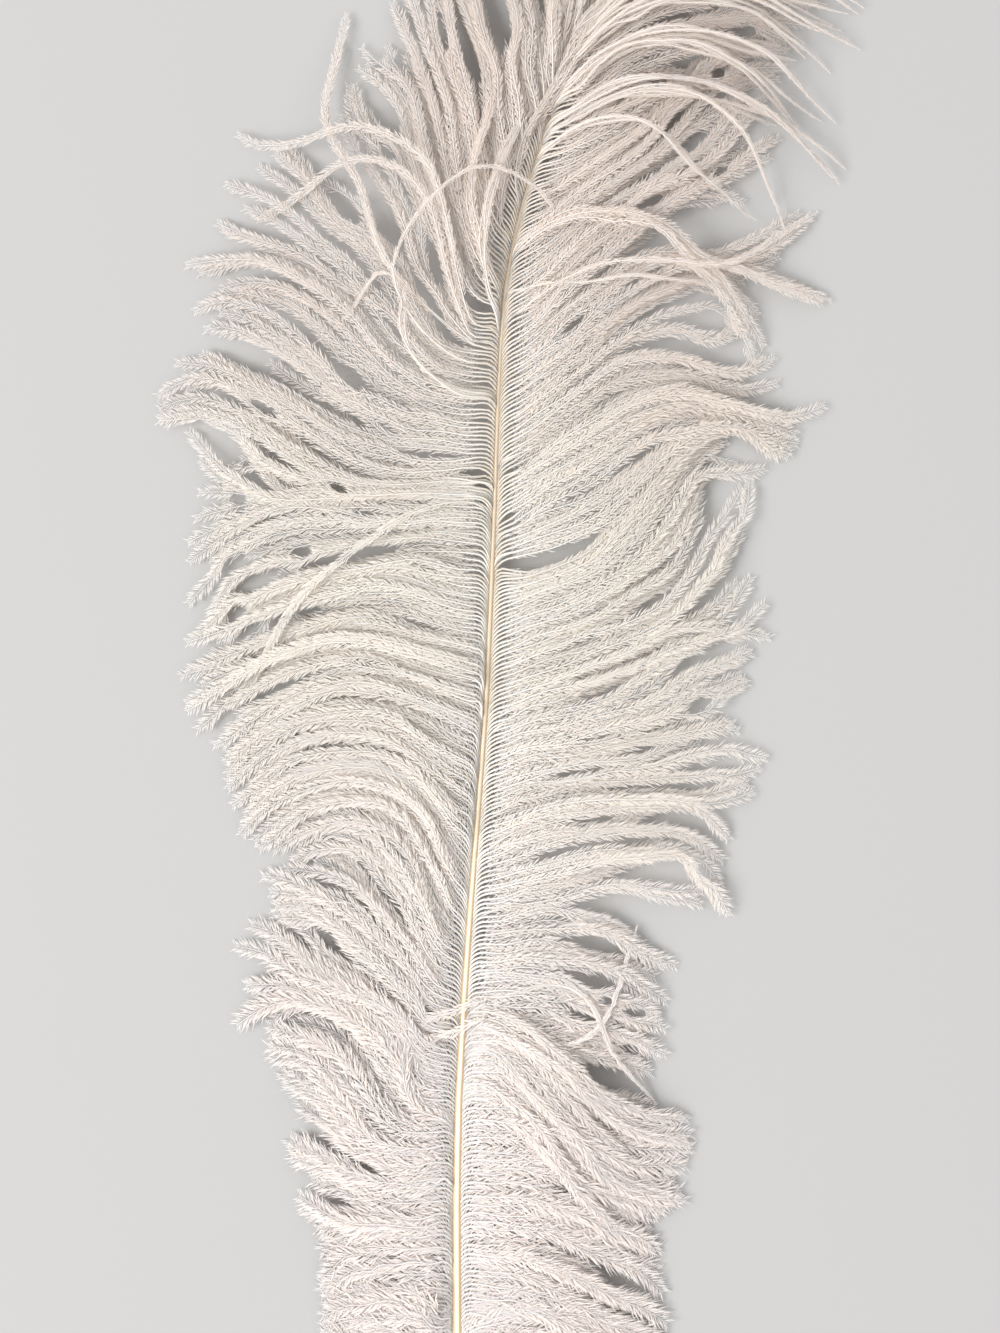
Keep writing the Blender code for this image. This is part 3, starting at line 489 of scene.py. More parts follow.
def smooth_route(points):
    """GUIDE_STEPS places at even steps along a smooth curve through the points."""
    ends = [2 * points[0] - points[1], *points, 2 * points[-1] - points[-2]]
    t = (np.arange(FINE_STEPS) / FINE_STEPS)[:, None]
    fine = []
    for before, start, end, after in zip(ends, ends[1:], ends[2:], ends[3:]):
        turn = 2 * before - 5 * start + 4 * end - after
        twist = 3 * start - before - 3 * end + after
        fine.append(0.5 * (2 * start + (end - before) * t + turn * t**2 + twist * t**3))
    fine = np.vstack(fine + [points[-1][None]])
    along = along_route(fine)
    wanted = np.linspace(0, along[-1], GUIDE_STEPS)
    return np.stack([np.interp(wanted, along, fine[:, c]) for c in range(3)], 1)


def guide_of(root, points, sign):
    """The flat route of one lock from the shaft to its tip."""
    start = shaft_side(root, sign)
    start[2] = 0
    return smooth_route([start] + [spread(x, y) for x, y in points])


guides = {}
for sign, flow in ((-1, LEFT_FLOW), (1, RIGHT_FLOW)):
    guides[sign] = [guide_of(root, points, sign) for root, _, *points in flow]
    longest = max(along_route(guide)[-1] for guide in guides[sign])
    print("side", sign, "locks", len(flow), "longest", round(1000 * longest), "mm")


# %% [markdown]
# ## Tools for routes
# A route is an array of places, one row for each step along a barb. Steps are shorter near the
# shaft, where a barb bends most. Three small tools do the work on routes that many steps need.

# %% Ease, shares and sideways
BARB_STEPS = 26
share = np.linspace(0, 1, BARB_STEPS) ** 1.5  # how far along its barb each step is


def ease(x):
    """0 below 0, 1 above 1, and smooth between."""
    x = np.clip(x, 0, 1)
    return x * x * (3 - 2 * x)


def at_share(route, where):
    """Places along a guide at these shares of its length, straight on past its tip."""
    steps = np.linspace(0, 1, len(route))
    inside = np.stack([np.interp(where, steps, route[:, c]) for c in range(3)], 1)
    past = np.clip(where - 1, 0, None)[:, None]
    return inside + past * (route[-1] - route[-4]) * (len(route) - 1) / 3


def sideways(route):
    """The level direction across a route, at each of its points."""
    along = np.gradient(route, axis=0)
    across = np.stack([-along[:, 1], along[:, 0], np.zeros(len(route))], 1)
    return across / np.maximum(np.linalg.norm(across, axis=1, keepdims=True), 1e-9)


# %% [markdown]
# ## Around the slits
# A barb that would run through a slit passes on one side of it, the side that most of it is on
# already. Close to the slit it is moved by the slit's half width, and the move fades out with the
# distance, so that the neighbours make room and none of them cross.

# %% Push a barb out of the slits
REACH = 4.0  # how many half widths away a slit still pushes
SLIT_ENDS = 1.4  # how far past a slit's ends barbs are looked at, in half lengths
FREE_FOOT = 0.04  # the share of a barb, from its foot, that no slit may move far


def in_slits(places):
    """Each place in each slit's own measure: (along, across), where 1 is the slit's edge."""
    gap = places[:, None, :2] - SLIT_PLACE[None]
    along = gap[..., 0] * np.cos(SLIT_WAY) + gap[..., 1] * np.sin(SLIT_WAY)
    across = gap[..., 1] * np.cos(SLIT_WAY) - gap[..., 0] * np.sin(SLIT_WAY)
    return along / SLIT_HALF[:, 0], across / SLIT_HALF[:, 1]


def push_aside(route):
    """The route with the places near a slit pushed out of it, all to one side of it."""
    along, across = in_slits(route)
    near = (abs(along) < SLIT_ENDS).any(0) & (abs(across) < REACH).any(0)
    for k in np.where(near)[0]:
        u, v = along[:, k], across[:, k]
        side = math.copysign(1, v[np.argmin(u * u + (v / REACH) ** 2)])
        depth = np.clip(v * side, 0, REACH)
        moved = np.where(v * side < REACH, 1 + depth * (REACH - 1) / REACH - depth, 0)
        shift = side * moved * np.exp(-(u**4)) * SLIT_HALF[k, 1] * ease(share / FREE_FOOT)
        route[:, 0] -= shift * math.sin(SLIT_WAY[k])
        route[:, 1] += shift * math.cos(SLIT_WAY[k])
    return route


# %% [markdown]
# ## One barb
# A barb leaves the shaft steeply, bends outwards within a few millimetres, rises in a long low
# arch and comes down to the surface at its tip. On the way it swings a little to and fro. The flat
# route says where it goes, and this step gives it that start, that arch and its own small ways.

# %% How a barb lies
BOW = 0.0027  # a barb leaves the shaft steeply, so it first rises this far over its lock's line
BOW_START = 0.0015  # how soon it has risen
BOW_END = 0.0085  # and how far out it is back on the line
RIPPLE = 0.0006  # how far each barb swings to and fro
RIPPLE_WAVES = (1.5, 3.5)  # how often it does so, at least and at most
TIP_HEIGHT = 0.0012  # of the lowest tip over the surface, in metres
TIP_CHANCE = 0.0016  # how much higher another may end
LOWEST = 0.0006  # no part of a barb comes closer to the surface
RIPPLE_FULL = 0.2  # the share of a barb from which it swings in full
BEND_POWER = 1.9  # how late along a barb its bend shows
CURL_FROM, CURL_OVER, CURL_POWER = 0.5, 0.6, 1.5  # where a barb begins to curl, and how late
LIFT_TOP = 0.7  # how far out a lift is greatest, as for the crest of an arch
FLOW_TOP, OVER_TOP = 0.8, 0.9  # how far out the crest of an arch is: 1 is halfway


def own_swing(waves, chance):
    """A wave along a barb, from -1 to 1, with a number of waves and a start drawn by chance."""
    return np.sin(2 * math.pi * (chance.uniform(*waves) * share + chance.random()))


def lay_barb(flat, root, sign, crest, chance, lift, bend, curl, band=0.0, top=FLOW_TOP, pushed=True):
    """
    A barb's route in space. Lift raises it, bend carries it aside, more and more towards its tip,
    curl turns only its tip aside, and band is its place beside the others in a bunch.
    """
    route = flat.copy()
    start = shaft_side(root, sign)
    route[:, :2] += (start[:2] - route[0, :2]) * ((1 - share) ** 3)[:, None]
    run = along_route(route)
    route[:, 1] += BOW * (1 - np.exp(-run / BOW_START)) * np.exp(-((run / BOW_END) ** 2))
    ripple = RIPPLE * own_swing(RIPPLE_WAVES, chance)
    bent = bend * share**BEND_POWER + curl * ease((share - CURL_FROM) / CURL_OVER) ** CURL_POWER
    route += sideways(route) * (band + ripple * ease(share / RIPPLE_FULL) + bent)[:, None]
    rest = TIP_HEIGHT + TIP_CHANCE * chance.random()
    arch = crest * np.sin(math.pi * share**top)
    own_lift = lift * np.sin(math.pi * share**LIFT_TOP)
    route[:, 2] = start[2] * (1 - share) + rest * share + arch + own_lift
    route[:, 2] = np.maximum(route[:, 2], LOWEST)
    return push_aside(route) if pushed else route


# %% [markdown]
# ## Twigs
# Barbs leave the shaft 1.7 mm apart, and two or three neighbours cling together like a twig. The
# twig nearest to a lock leads it, and its barbs follow the lock's points closely.

# %% Twigs of one to four barbs
PITCH = 4.4  # pixels between two barbs on the shaft
TWIG_SIZES = (1, 2, 3, 4)
SIZE_CHANCES = (0.2, 0.35, 0.3, 0.15)


def make_twigs(rows, chance):
    """Neighbouring barbs in twigs of one to four, and the lock that each twig leads, if any."""
    roots = np.arange(rows[0] - 1, rows[-1], -PITCH)
    twigs, first = [], 0
    while first < len(roots):
        count = int(chance.choice(TWIG_SIZES, p=SIZE_CHANCES))
        twigs.append({"roots": roots[first : first + count], "leads": None})
        first += count
    middles = np.array([t["roots"].mean() for t in twigs])
    for lock, row in enumerate(rows):
        twigs[int(np.argmin(abs(middles - row)))]["leads"] = lock
    return twigs


# %% [markdown]
# ## What the barbs of a twig share
# Chance is drawn once for a whole twig and again, smaller, for each of its barbs. Drawing it for
# each barb alone would give an even fur, and drawing it for a whole lock would give ribbons. The
# down near the quill lies more evenly than the rest.

# %% Give a twig its ways
TWIG_SPREAD = 0.0046  # sideways, at the tip, in metres
TWIG_CURL = 0.0080  # how far a twig's tip bends aside
TWIG_LIFT = 0.0016  # up or down, at its crest
TWIG_WAVE = 0.0011  # how far it swings to and fro
WAVE_COUNT = (0.6, 1.4)
LEAD_REACH = (0.97, 1.0)  # how much of its lock's length a leading twig has
LEAD_SPREAD = 0.0006
LONG_REACH, SHORT_REACH = (0.80, 0.97), (0.6, 0.8)
LONG_SHARE = 0.7  # how many twigs are of the longer kind
DRAWN_IN = 0.5  # how much nearer to its nearest lock a twig ends than it starts
STRAY = 0.3  # how far chance moves that end, in locks
VALLEY = 0.0016  # how much lower the barbs of all but the leading twigs lie
DOWN_BEGINS, DOWN_CALM_FROM = 900, 1100  # the rows over which the vane turns into even down
DOWN_CALM = 0.65  # how much more evenly the down lies
# How loosely barbs lie about their locks, from the tip of the feather to its quill.
LOOSE_ROWS = (0, 290, 320, 500, 540, 860, 940, 1535)
LOOSENESS = {
    -1: (0.7, 0.7, 0.7, 0.7, 0.8, 0.8, 0.8, 0.8),
    1: (0.6, 0.7, 0.7, 0.7, 0.8, 0.7, 0.6, 0.7),
}


def give_ways(twig, middle, loose, chance):
    """
    Add to a twig what its barbs share: the number of the lock it goes to, its reach, and how it
    bends, curls, rises and swings.
    """
    lead = twig["leads"] is not None
    if lead:
        twig["goal"], twig["reach"] = twig["leads"], chance.uniform(*LEAD_REACH)
        twig["bend"], twig["curl"] = chance.normal(0, LEAD_SPREAD), 0.0
    else:
        twig["goal"] = middle + (round(middle) - middle) * DRAWN_IN + chance.normal(0, STRAY * loose)
        twig["reach"] = chance.uniform(*(LONG_REACH if chance.random() < LONG_SHARE else SHORT_REACH))
        twig["bend"] = loose * chance.normal(0, TWIG_SPREAD)
        twig["curl"] = loose * chance.normal(0, TWIG_CURL)
    down = ease((twig["roots"].mean() - DOWN_BEGINS) / (DOWN_CALM_FROM - DOWN_BEGINS))
    calm = DOWN_CALM * down
    valley = 0 if lead else VALLEY * (1 - calm)
    twig["lift"], twig["valley"] = chance.normal(0, TWIG_LIFT) * (1 - calm), valley
    twig["bend"] = twig["bend"] + chance.normal(0, TWIG_WAVE) * own_swing(WAVE_COUNT, chance)


# %% [markdown]
# ## One vane
# A barb starts between two locks and is then drawn to one of them, which is what opens the gaps
# between locks. Its flat route is a blend of the two locks' routes, step by step. Now and then a
# shorter barb turns off below another, as some barbs of a real vane do, and fills the air there.

# %% The barbs between the locks
BARB_SPREAD = 0.0024  # how far chance sets a barb off from its twig, sideways at its tip
BARB_CURL = TWIG_CURL / 2.5
BARB_LIFT = 0.0008
BARB_REACH = (0.90, 1.0)  # of its twig's reach
FILLING = 0.05  # how many barbs have another that turns off below them
UNDER_REACH = (0.66, 0.92)
UNDER_DEPTH = (0.001, 0.004)  # how far below, in metres
UNDER = -1.0  # stands where other barbs say how far their barbules are folded in
GATHER_FROM, GATHER_OVER = 0.25, 0.55  # the share of a barb over which it is drawn to a lock
# How strongly barbs are drawn to the nearest lock, at the same rows as their looseness.
GATHER = {
    -1: (0.8, 0.6, 0.3, 0.3, 0.5, 0.5, 0.35, 0.45),
    1: (0.8, 0.7, 0.6, 0.6, 0.6, 0.7, 0.85, 0.8),
}


def between_locks(sign, at_root, goal, gather, reach):
    """A flat route that starts at one place among the locks and is drawn to another, the goal."""
    gather = gather * ease((share - GATHER_FROM) / GATHER_OVER)
    at = np.clip(at_root * (1 - gather) + goal * gather, 0, len(guides[sign]) - 1.001)
    index = at.astype(int)
    weight = (at - index)[:, None]
    flats = {k: at_share(guides[sign][k], share * reach) for k in {*index, *(index + 1)}}
    low = np.array([flats[k][n] for n, k in enumerate(index)])
    high = np.array([flats[k + 1][n] for n, k in enumerate(index)])
    return low * (1 - weight) + high * weight


def under_barb(flat, root, sign, crest, chance, lift):
    """A shorter barb that turns off below the one on this flat route."""
    shorter = at_share(flat, share * chance.uniform(*UNDER_REACH))
    curl = chance.normal(0, TWIG_CURL)
    bend = chance.normal(0, 2 * TWIG_SPREAD)
    lower = lift - chance.uniform(*UNDER_DEPTH)
    return lay_barb(shorter, root, sign, crest, chance, lower, bend, curl)


def grow_side(flow, sign, chance):
    """Every barb of one vane that follows the flow of its locks, as (root row, route, folded)."""
    rows = np.array([row[0] for row in flow], float)
    crests = np.array([row[1] for row in flow]) / 1000
    order = np.arange(len(rows))
    barbs = []
    for twig in make_twigs(rows, chance):
        middle_row = twig["roots"].mean()
        loose = float(np.interp(middle_row, LOOSE_ROWS, LOOSENESS[sign]))
        gather = float(np.interp(middle_row, LOOSE_ROWS, GATHER[sign]))
        give_ways(twig, float(np.interp(-middle_row, -rows, order)), loose, chance)
        for number, root in enumerate(twig["roots"]):
            differs = number > 0  # the first barb of a twig lies as the twig does
            at_root = float(np.interp(-root, -rows, order))
            reach = twig["reach"] * (chance.uniform(*BARB_REACH) if differs else 1)
            flat = between_locks(sign, at_root, twig["goal"], gather, reach)
            crest = float(np.interp(at_root, order, crests))
            lift = twig["lift"] + chance.normal(0, BARB_LIFT) - twig["valley"]
            bend = twig["bend"] + loose * chance.normal(0, BARB_SPREAD) * differs
            curl = twig["curl"] + loose * chance.normal(0, BARB_CURL) * differs
            barbs.append((root, lay_barb(flat, root, sign, crest, chance, lift, bend, curl), 0.0))
            if chance.random() < FILLING * loose:
                barbs.append((root, under_barb(flat, root, sign, crest, chance, lift), UNDER))
    return barbs


# %% [markdown]
# ## The bunches on top
# The barbs of a bunch all follow one route, side by side. One or two strands on their own aren't
# pushed out of the slits, because they lie on top and may cross them.

# %% Grow the bunches, and then all barbs
BUNCH_REACH = (0.84, 0.99)
BUNCH_PITCH = 0.62 * PIXEL  # metres between two barbs, for one pixel between their roots
BUNCH_JOINS = 0.35  # the share of a barb after which it runs beside the others
BUNCH_LIFT = 0.0012
BUNCH_CURL = 0.003
BUNCH_SPREAD = 0.0015
BIG_BUNCH, BIG_SPREAD = 6, 0.003  # a bunch of so many barbs fans out more
FEW = 2  # so many barbs or fewer are strands and no bunch
SEED = 11


def grow_over(sign, chance):
    """The barbs of the bunches that cross over the others."""
    barbs = []
    for side, root, crest, count, folded, *points in OVER:
        if side != sign:
            continue
        guide = guide_of(root, points, side)
        for number in range(count):
            offset = (number - (count - 1) / 2) * PITCH
            reach = chance.uniform(*BUNCH_REACH) if number else 1.0
            flat = at_share(guide, share * reach)
            band = BUNCH_PITCH * offset * side * ease(share / BUNCH_JOINS) * (count > FEW)
            lift = chance.normal(0, BUNCH_LIFT) if count > 1 else 0.0
            loose = BUNCH_SPREAD if count < BIG_BUNCH else BIG_SPREAD
            bend = chance.normal(0, loose) if number else 0.0
            curl = chance.normal(0, BUNCH_CURL) * (1 - folded) if number else 0.0
            start = root - offset
            own = (crest / 1000, chance, lift, bend, curl, band, OVER_TOP, count > FEW)
            barbs.append((start, lay_barb(flat, start, sign, *own), folded))
    return barbs


chance = np.random.default_rng(SEED)
barbs = {}
for sign, flow in ((-1, LEFT_FLOW), (1, RIGHT_FLOW)):
    barbs[sign] = grow_side(flow, sign, chance) + grow_over(sign, chance)
total = sum(along_route(route)[-1] for side in barbs.values() for _, route, _ in side)
print("barbs:", {side: len(grown) for side, grown in barbs.items()}, "of", round(total, 1), "m in all")

# %% [markdown]
# ## A barb's stalk
# The stalk of a barb is a stiff thread, thickest at the shaft. It could be a curve with a bevel,
# but hundreds of curves export badly. A ring of three corners, carried along the route, gives a
# closed tube with very few faces. All barbs go into arrays first and become one mesh at the end.

# %% Tubes along routes
STALK_HALF = 0.00028  # half the stalk's width
STALK_TAPER = 0.5  # how much of it is gone at the tip
STALK_FOOT = 0.00036  # how much stouter it is where it stands on the shaft
FOOT_LENGTH = 0.009
FOLDED_STALK = 0.4  # how much stouter the stalk of a strand with folded barbules shows
CORNERS = 3


def frame_along(route):
    """The directions along, across and up, at each point of a route."""
    along = np.gradient(route, axis=0)
    along /= np.linalg.norm(along, axis=1, keepdims=True)
    across = np.cross(along, (0, 0, 1))
    across /= np.maximum(np.linalg.norm(across, axis=1, keepdims=True), 1e-9)
    return along, across, np.cross(across, along)


def stalk_mesh(route, folded):
    """Corners and faces of one closed three-sided tube that tapers to its tip."""
    _, across, up = frame_along(route)
    foot = STALK_FOOT * np.exp(-along_route(route) / FOOT_LENGTH)
    half = STALK_HALF * (1 - STALK_TAPER * share) + foot
    half = (half * (1 + FOLDED_STALK * max(folded, 0) ** 2 * (1 - share**3)))[:, None]
    turns = [math.pi / 2 - 2 * math.pi * c / CORNERS for c in range(CORNERS)]
    rings = [route + half * (math.cos(a) * across + math.sin(a) * up) for a in turns]
    corners = np.stack(rings, 1).reshape(-1, 3)
    steps = np.arange(len(route) - 1)[:, None] * CORNERS
    faces = []
    for c in range(CORNERS):
        d = (c + 1) % CORNERS
        a, b, e, f = steps + c, steps + d, steps + CORNERS + d, steps + CORNERS + c
        faces += [np.hstack([a, b, e]), np.hstack([a, e, f])]
    last = (len(route) - 1) * CORNERS
    caps = [[2, 1, 0], [last, last + 1, last + 2]]
    return corners, np.vstack(faces + [np.array(caps)])


# %% [markdown]
# ## Where barbules stand
# The barbules are what makes an ostrich plume soft: a row of fine hairs on each side of the stalk,
# leaning towards the barb's tip. There are far more of them than of anything else, so they are
# worked out for a whole barb at once, in arrays. First comes how far out each of them stands: they
# are closer together on a barb's outer half, where they make its brush.

# %% The places of a barb's barbules
INNER_GAP, OUTER_GAP = 0.00098, 0.00062  # between two barbules, near the shaft and far out
DOWN_CLOSER = 0.15  # how much closer they are in the down
CLOSE_FROM, CLOSE_OVER = 0.35, 0.35  # the share of a barb over which the gap narrows
UNDER_BEGIN = 0.018  # a barb below another shows only this far out
PLACE_CHANCE = 0.8  # of a gap
FINE_PLACES = 60


def places_along(length, begin, fluff):
    """Fine places along a barb, and how many barbules of one side stand before each."""
    fine = np.linspace(begin, length, FINE_PLACES)
    outer = ease((fine / length - CLOSE_FROM) / CLOSE_OVER)
    gap = (INNER_GAP + (OUTER_GAP - INNER_GAP) * outer) * (1 - DOWN_CLOSER * fluff)
    return fine, np.append(0, np.cumsum(np.diff(fine) / gap[1:]))


# %% [markdown]
# ## How long barbules are and how they lean
# Near the shaft the barbules are short, so the feet of the barbs show there like the teeth of a
# comb. They soon reach their length, and they lean out most at the barb's tip, which is what
# makes each tip look like a small brush. In the down they are longer and wilder. Some barbs on
# top are worn or damp, and their barbules lie folded against the stalk: those look like strings.

# %% Length and lean
INNER_LENGTH, OUTER_LENGTH = 0.0042, 0.0054  # of a barbule near the shaft, and far out
LONG_FROM, LONG_OVER = 0.25, 0.4  # the share of a barb over which they get longer
LENGTH_CHANCE = (0.68, 1.14)
FOOT_SIZE, DOWN_FOOT_SIZE = 0.14, 0.46  # of the first ones, and how much more that is in the down
SIZE_RISE = 0.014  # metres in which that rises by 1, the full length
BLUNT_END = 0.006  # the end of a barb, where they get shorter
END_SIZE = 0.6
FOLDED_TIP_SHORTER = 0.35  # how much shorter folded ones are at the very tip of a barb
FOLDED_TIP_FALL = 0.05  # metres from the tip in which that would fall by 1
DOWN_LONGER = 0.38
FOLDED_SHORTER = 0.25
INNER_LEAN, TIP_LEAN = math.radians(27), math.radians(40)
TIP_ZONE = 0.030  # how far from a barb's tip the barbules begin to spread out
LEAN_CHANCE = math.radians(6)
DOWN_WILDER = 0.5
SHUT_AFTER = 0.03  # metres from the shaft at which folded barbules are shut in full
SHUT_LEAST, SHUT_MOST = 0.52, 0.80  # how much of their lean is gone far in, and far out
SHUT_TIP, SHUT_FALL = 0.86, 0.15  # between them it falls from this by 1 in these metres
FOOT_LEAN, LEAN_RISE = 0.5, 0.02  # the first lean half as much, and that rises by 1 in these metres


def lengths_of(s, length, comb, fluff, folded, slim, chance):
    """How long the barbules are that stand at s on a barb of this length."""
    left = length - s
    size = INNER_LENGTH + (OUTER_LENGTH - INNER_LENGTH) * ease((s / length - LONG_FROM) / LONG_OVER)
    grown = np.clip(FOOT_SIZE + DOWN_FOOT_SIZE * fluff + (s - comb) / SIZE_RISE, 0, 1)
    size *= grown * np.clip(left / BLUNT_END, END_SIZE, 1)
    size *= 1 - folded * np.clip(FOLDED_TIP_SHORTER - left / FOLDED_TIP_FALL, 0, FOLDED_TIP_SHORTER)
    own = chance.uniform(*LENGTH_CHANCE, len(s)) * (1 + DOWN_LONGER * fluff)
    return size * (own * (1 - FOLDED_SHORTER * folded) * slim)


def leans_of(s, left, fluff, folded, chance):
    """The angles between the barbules and their stalk."""
    most = np.clip(SHUT_TIP - left / SHUT_FALL, SHUT_LEAST, SHUT_MOST)
    shut = 1 - folded * np.clip(s / SHUT_AFTER, 0, 1) * most
    lean = INNER_LEAN + (TIP_LEAN - INNER_LEAN) * ease(1 - left / TIP_ZONE)
    lean += LEAN_CHANCE * (1 + DOWN_WILDER * fluff) * chance.normal(0, 1, len(s))
    return (lean * shut * np.clip(FOOT_LEAN + s / LEAN_RISE, 0, 1))[:, None]


# %% [markdown]
# ## Open slits stay open
# Barbs pass around a slit, but their barbules would close it again. A barbule that reaches into
# an open slit is made shorter, and now and then one is left as it is, so that the edge of the slit
# isn't too clean. None may sink into the surface that the feather lies on.

# %% Shorten the barbules in slits
OPEN = 4.5 * PIXEL  # a slit with a wider half is open, and a narrower one is only a furrow
SLIT_CORE = 0.55  # where a slit's edge is 1 and its middle 0, a barbule that gets below may be cut
CUT_SHARE = 0.75  # how many of those are
LOOKED_AT = (1.0, 0.75, 0.5)  # the shares of a barbule's length at which this is checked
CUT_BACK = 0.35  # how much of its length a cut one ends short of the place that was checked
FLOOR_GAP = 0.0002  # metres between the lowest barbule and the surface


def clear_of_slits(foot, reach, chance):
    """Where barbules that start at foot and reach this far end, so that open slits stay open."""
    tip = foot + reach
    for part in LOOKED_AT:
        u, v = in_slits(foot + reach * part)
        inside = ((u * u + v * v < SLIT_CORE) & (SLIT_HALF[:, 1] > OPEN)).any(1)
        cut = inside & (chance.random(len(foot)) < CUT_SHARE)
        tip[cut] = (foot + reach * (part - CUT_BACK))[cut]
    tip[:, 2] = np.maximum(tip[:, 2], FLOOR_GAP)
    return tip


# %% [markdown]
# ## A barbule as a leaf
# A barbule is as plain as a closed shape can be: a slim leaf with a foot, a tip and two corners
# between, which makes four triangles. The two corners stand a little outwards, so that it bends.
# A flat strip would take fewer faces, but it would have no thickness and no volume.

# %% Leaves along both sides of a barb
BARBULE_WIDTH = 0.00030
DOWN_THINNER = 0.1
SHORT, SHORT_WIDTH = 0.003, 0.4  # a barbule under this length is thinner, down to this share
COMB_WIDER = 0.35  # how much wider barbules are near the shaft, where they are further apart
COMB_FROM, COMB_OVER = 0.3, 0.3  # the share of a barb over which that is lost
BARBULE_BEND = 0.07  # how far its middle stands out, for its length
BARBULE_BELLY = 0.48  # where its widest place is, between tip (0) and foot (1)
TILT, TILT_CHANCE, DOWN_TILT = -0.09, 0.08, 0.03  # up or down, for its length
TILT_OVER, TILT_LEAST = 0.020, 0.35  # metres from the shaft before they tilt in full
SINK = 0.4  # how deep it stands in the stalk, in halves of the stalk
LEAF_FACES = ((0, 3, 2), (1, 2, 3), (0, 1, 3), (0, 2, 1))  # foot 0, tip 1, the corners between 2, 3


def barbule_mesh(route, chance, fluff, folded, comb, slim):
    """Corners and faces of a barb's barbules. Fluff from 0 to 1 makes them longer and wilder."""
    run = along_route(route)
    begin = comb if folded >= 0 else UNDER_BEGIN
    folded = max(folded, 0.0)
    fine, so_far = places_along(run[-1], begin, fluff)
    count = int(so_far[-1])
    if count < 2:
        return np.zeros((0, 3)), np.zeros((0, 3), int)
    frame_tables = (route, *frame_along(route))
    rows = []
    for side in (-1, 1):
        s = np.interp(np.arange(count) + chance.uniform(0, PLACE_CHANCE, count), so_far, fine)
        foot, ahead, across, up = (
            np.stack([np.interp(s, run, table[:, c]) for c in range(3)], 1) for table in frame_tables
        )
        out = across * side
        foot = foot - SINK * STALK_HALF * up
        size = lengths_of(s, run[-1], comb, fluff, folded, slim, chance)
        lean = leans_of(s, run[-1] - s, fluff, folded, chance)
        tilt = chance.normal(TILT, TILT_CHANCE + DOWN_TILT * fluff, count)
        tilt = (np.clip(s / TILT_OVER, TILT_LEAST, 1) * tilt)[:, None]
        way = np.cos(lean) * ahead + np.sin(lean) * out + tilt * up
        tip = clear_of_slits(foot, way * size[:, None], chance)
        to_right = (np.cos(lean) * out - np.sin(lean) * ahead) * side  # seen from above
        long = np.linalg.norm(tip - foot, axis=1)[:, None]
        half = BARBULE_WIDTH / 2 * np.clip(long / SHORT, SHORT_WIDTH, 1) * (1 - DOWN_THINNER * fluff)
        half *= 1 + COMB_WIDER * (1 - ease((s[:, None] / run[-1] - COMB_FROM) / COMB_OVER))
        belly = foot * BARBULE_BELLY + tip * (1 - BARBULE_BELLY)
        belly = belly + BARBULE_BEND * long * out + 0.5 * half * up
        rows.append(np.stack([foot, tip, belly - half * to_right, belly + half * to_right], 1))
    corners = np.vstack(rows).reshape(-1, 3)
    first = np.arange(2 * count)[:, None] * 4
    faces = [np.hstack([first + a, first + b, first + c]) for a, b, c in LEAF_FACES]
    return corners, np.vstack(faces)


# %% [markdown]
# ## From arrays to a mesh
# A million faces can't be added one by one in any sensible time. A mesh takes whole arrays, as
# long as they say which corners make up a face and where each face begins. A number for every
# corner can be stored the same way, under a name by which a material finds it.

# %% Meshes and numbers from arrays
def add_numbers(mesh, label, values):
    """Give every corner of a mesh a number that a material can read by this name."""
    data = mesh.attributes.new(label, "FLOAT", "POINT").data
    data.foreach_set("value", np.concatenate(values).astype(np.float32))


def mesh_from_arrays(name, corners, faces):
    """A mesh from arrays of corners and triangles."""
    mesh = bpy.data.meshes.new(name)
    mesh.vertices.add(len(corners))
    mesh.vertices.foreach_set("co", corners.astype(np.float32).ravel())
    mesh.loops.add(3 * len(faces))
    mesh.loops.foreach_set("vertex_index", faces.astype(np.int32).ravel())
    mesh.polygons.add(len(faces))
    mesh.polygons.foreach_set("loop_start", np.arange(0, 3 * len(faces), 3, dtype=np.int32))
    mesh.update(calc_edges=True)
    mesh.shade_flat()
    return mesh


# %% [markdown]
# ## Pieces of a handy size
# One mesh with a million faces is slow to edit and to export, so each vane is kept as five
# pieces, from the down at the quill to the plume's head. Every corner also gets numbers that the
# material reads: how far it is along its barb, a tone that is the barb's own, and how far out it
# is on a barbule.

# %% Joining barbs into meshes
# Each piece has the barbs whose roots are between two rows of pixels.
BANDS = (
    ("down", 1250, 2000),
    ("lower", 900, 1250),
    ("middle", 560, 900),
    ("upper", 290, 560),
    ("head", -400, 290),
)
SLIM_ROWS = (250, 420, 600)
SLIM = (0.86, 0.90, 1.0)  # how long the barbules are there, for their length elsewhere
COMB_ROWS = (0, 250, 560, 850, 1000, 1600)  # from the tip of the feather to its quill
COMB = (0.0030, 0.0052, 0.0028, 0.0016, 0.0006, 0.0004)  # how far a barb is bare where it starts
COMB_CHANCE = (0.8, 1.2)
FLUFFY_FROM = 1200  # the row from which the down is as fluffy as it gets
LEAF_FRINGE = (0.3, 1.0, 0.8, 0.8)  # how far out a leaf's foot, tip and two corners count


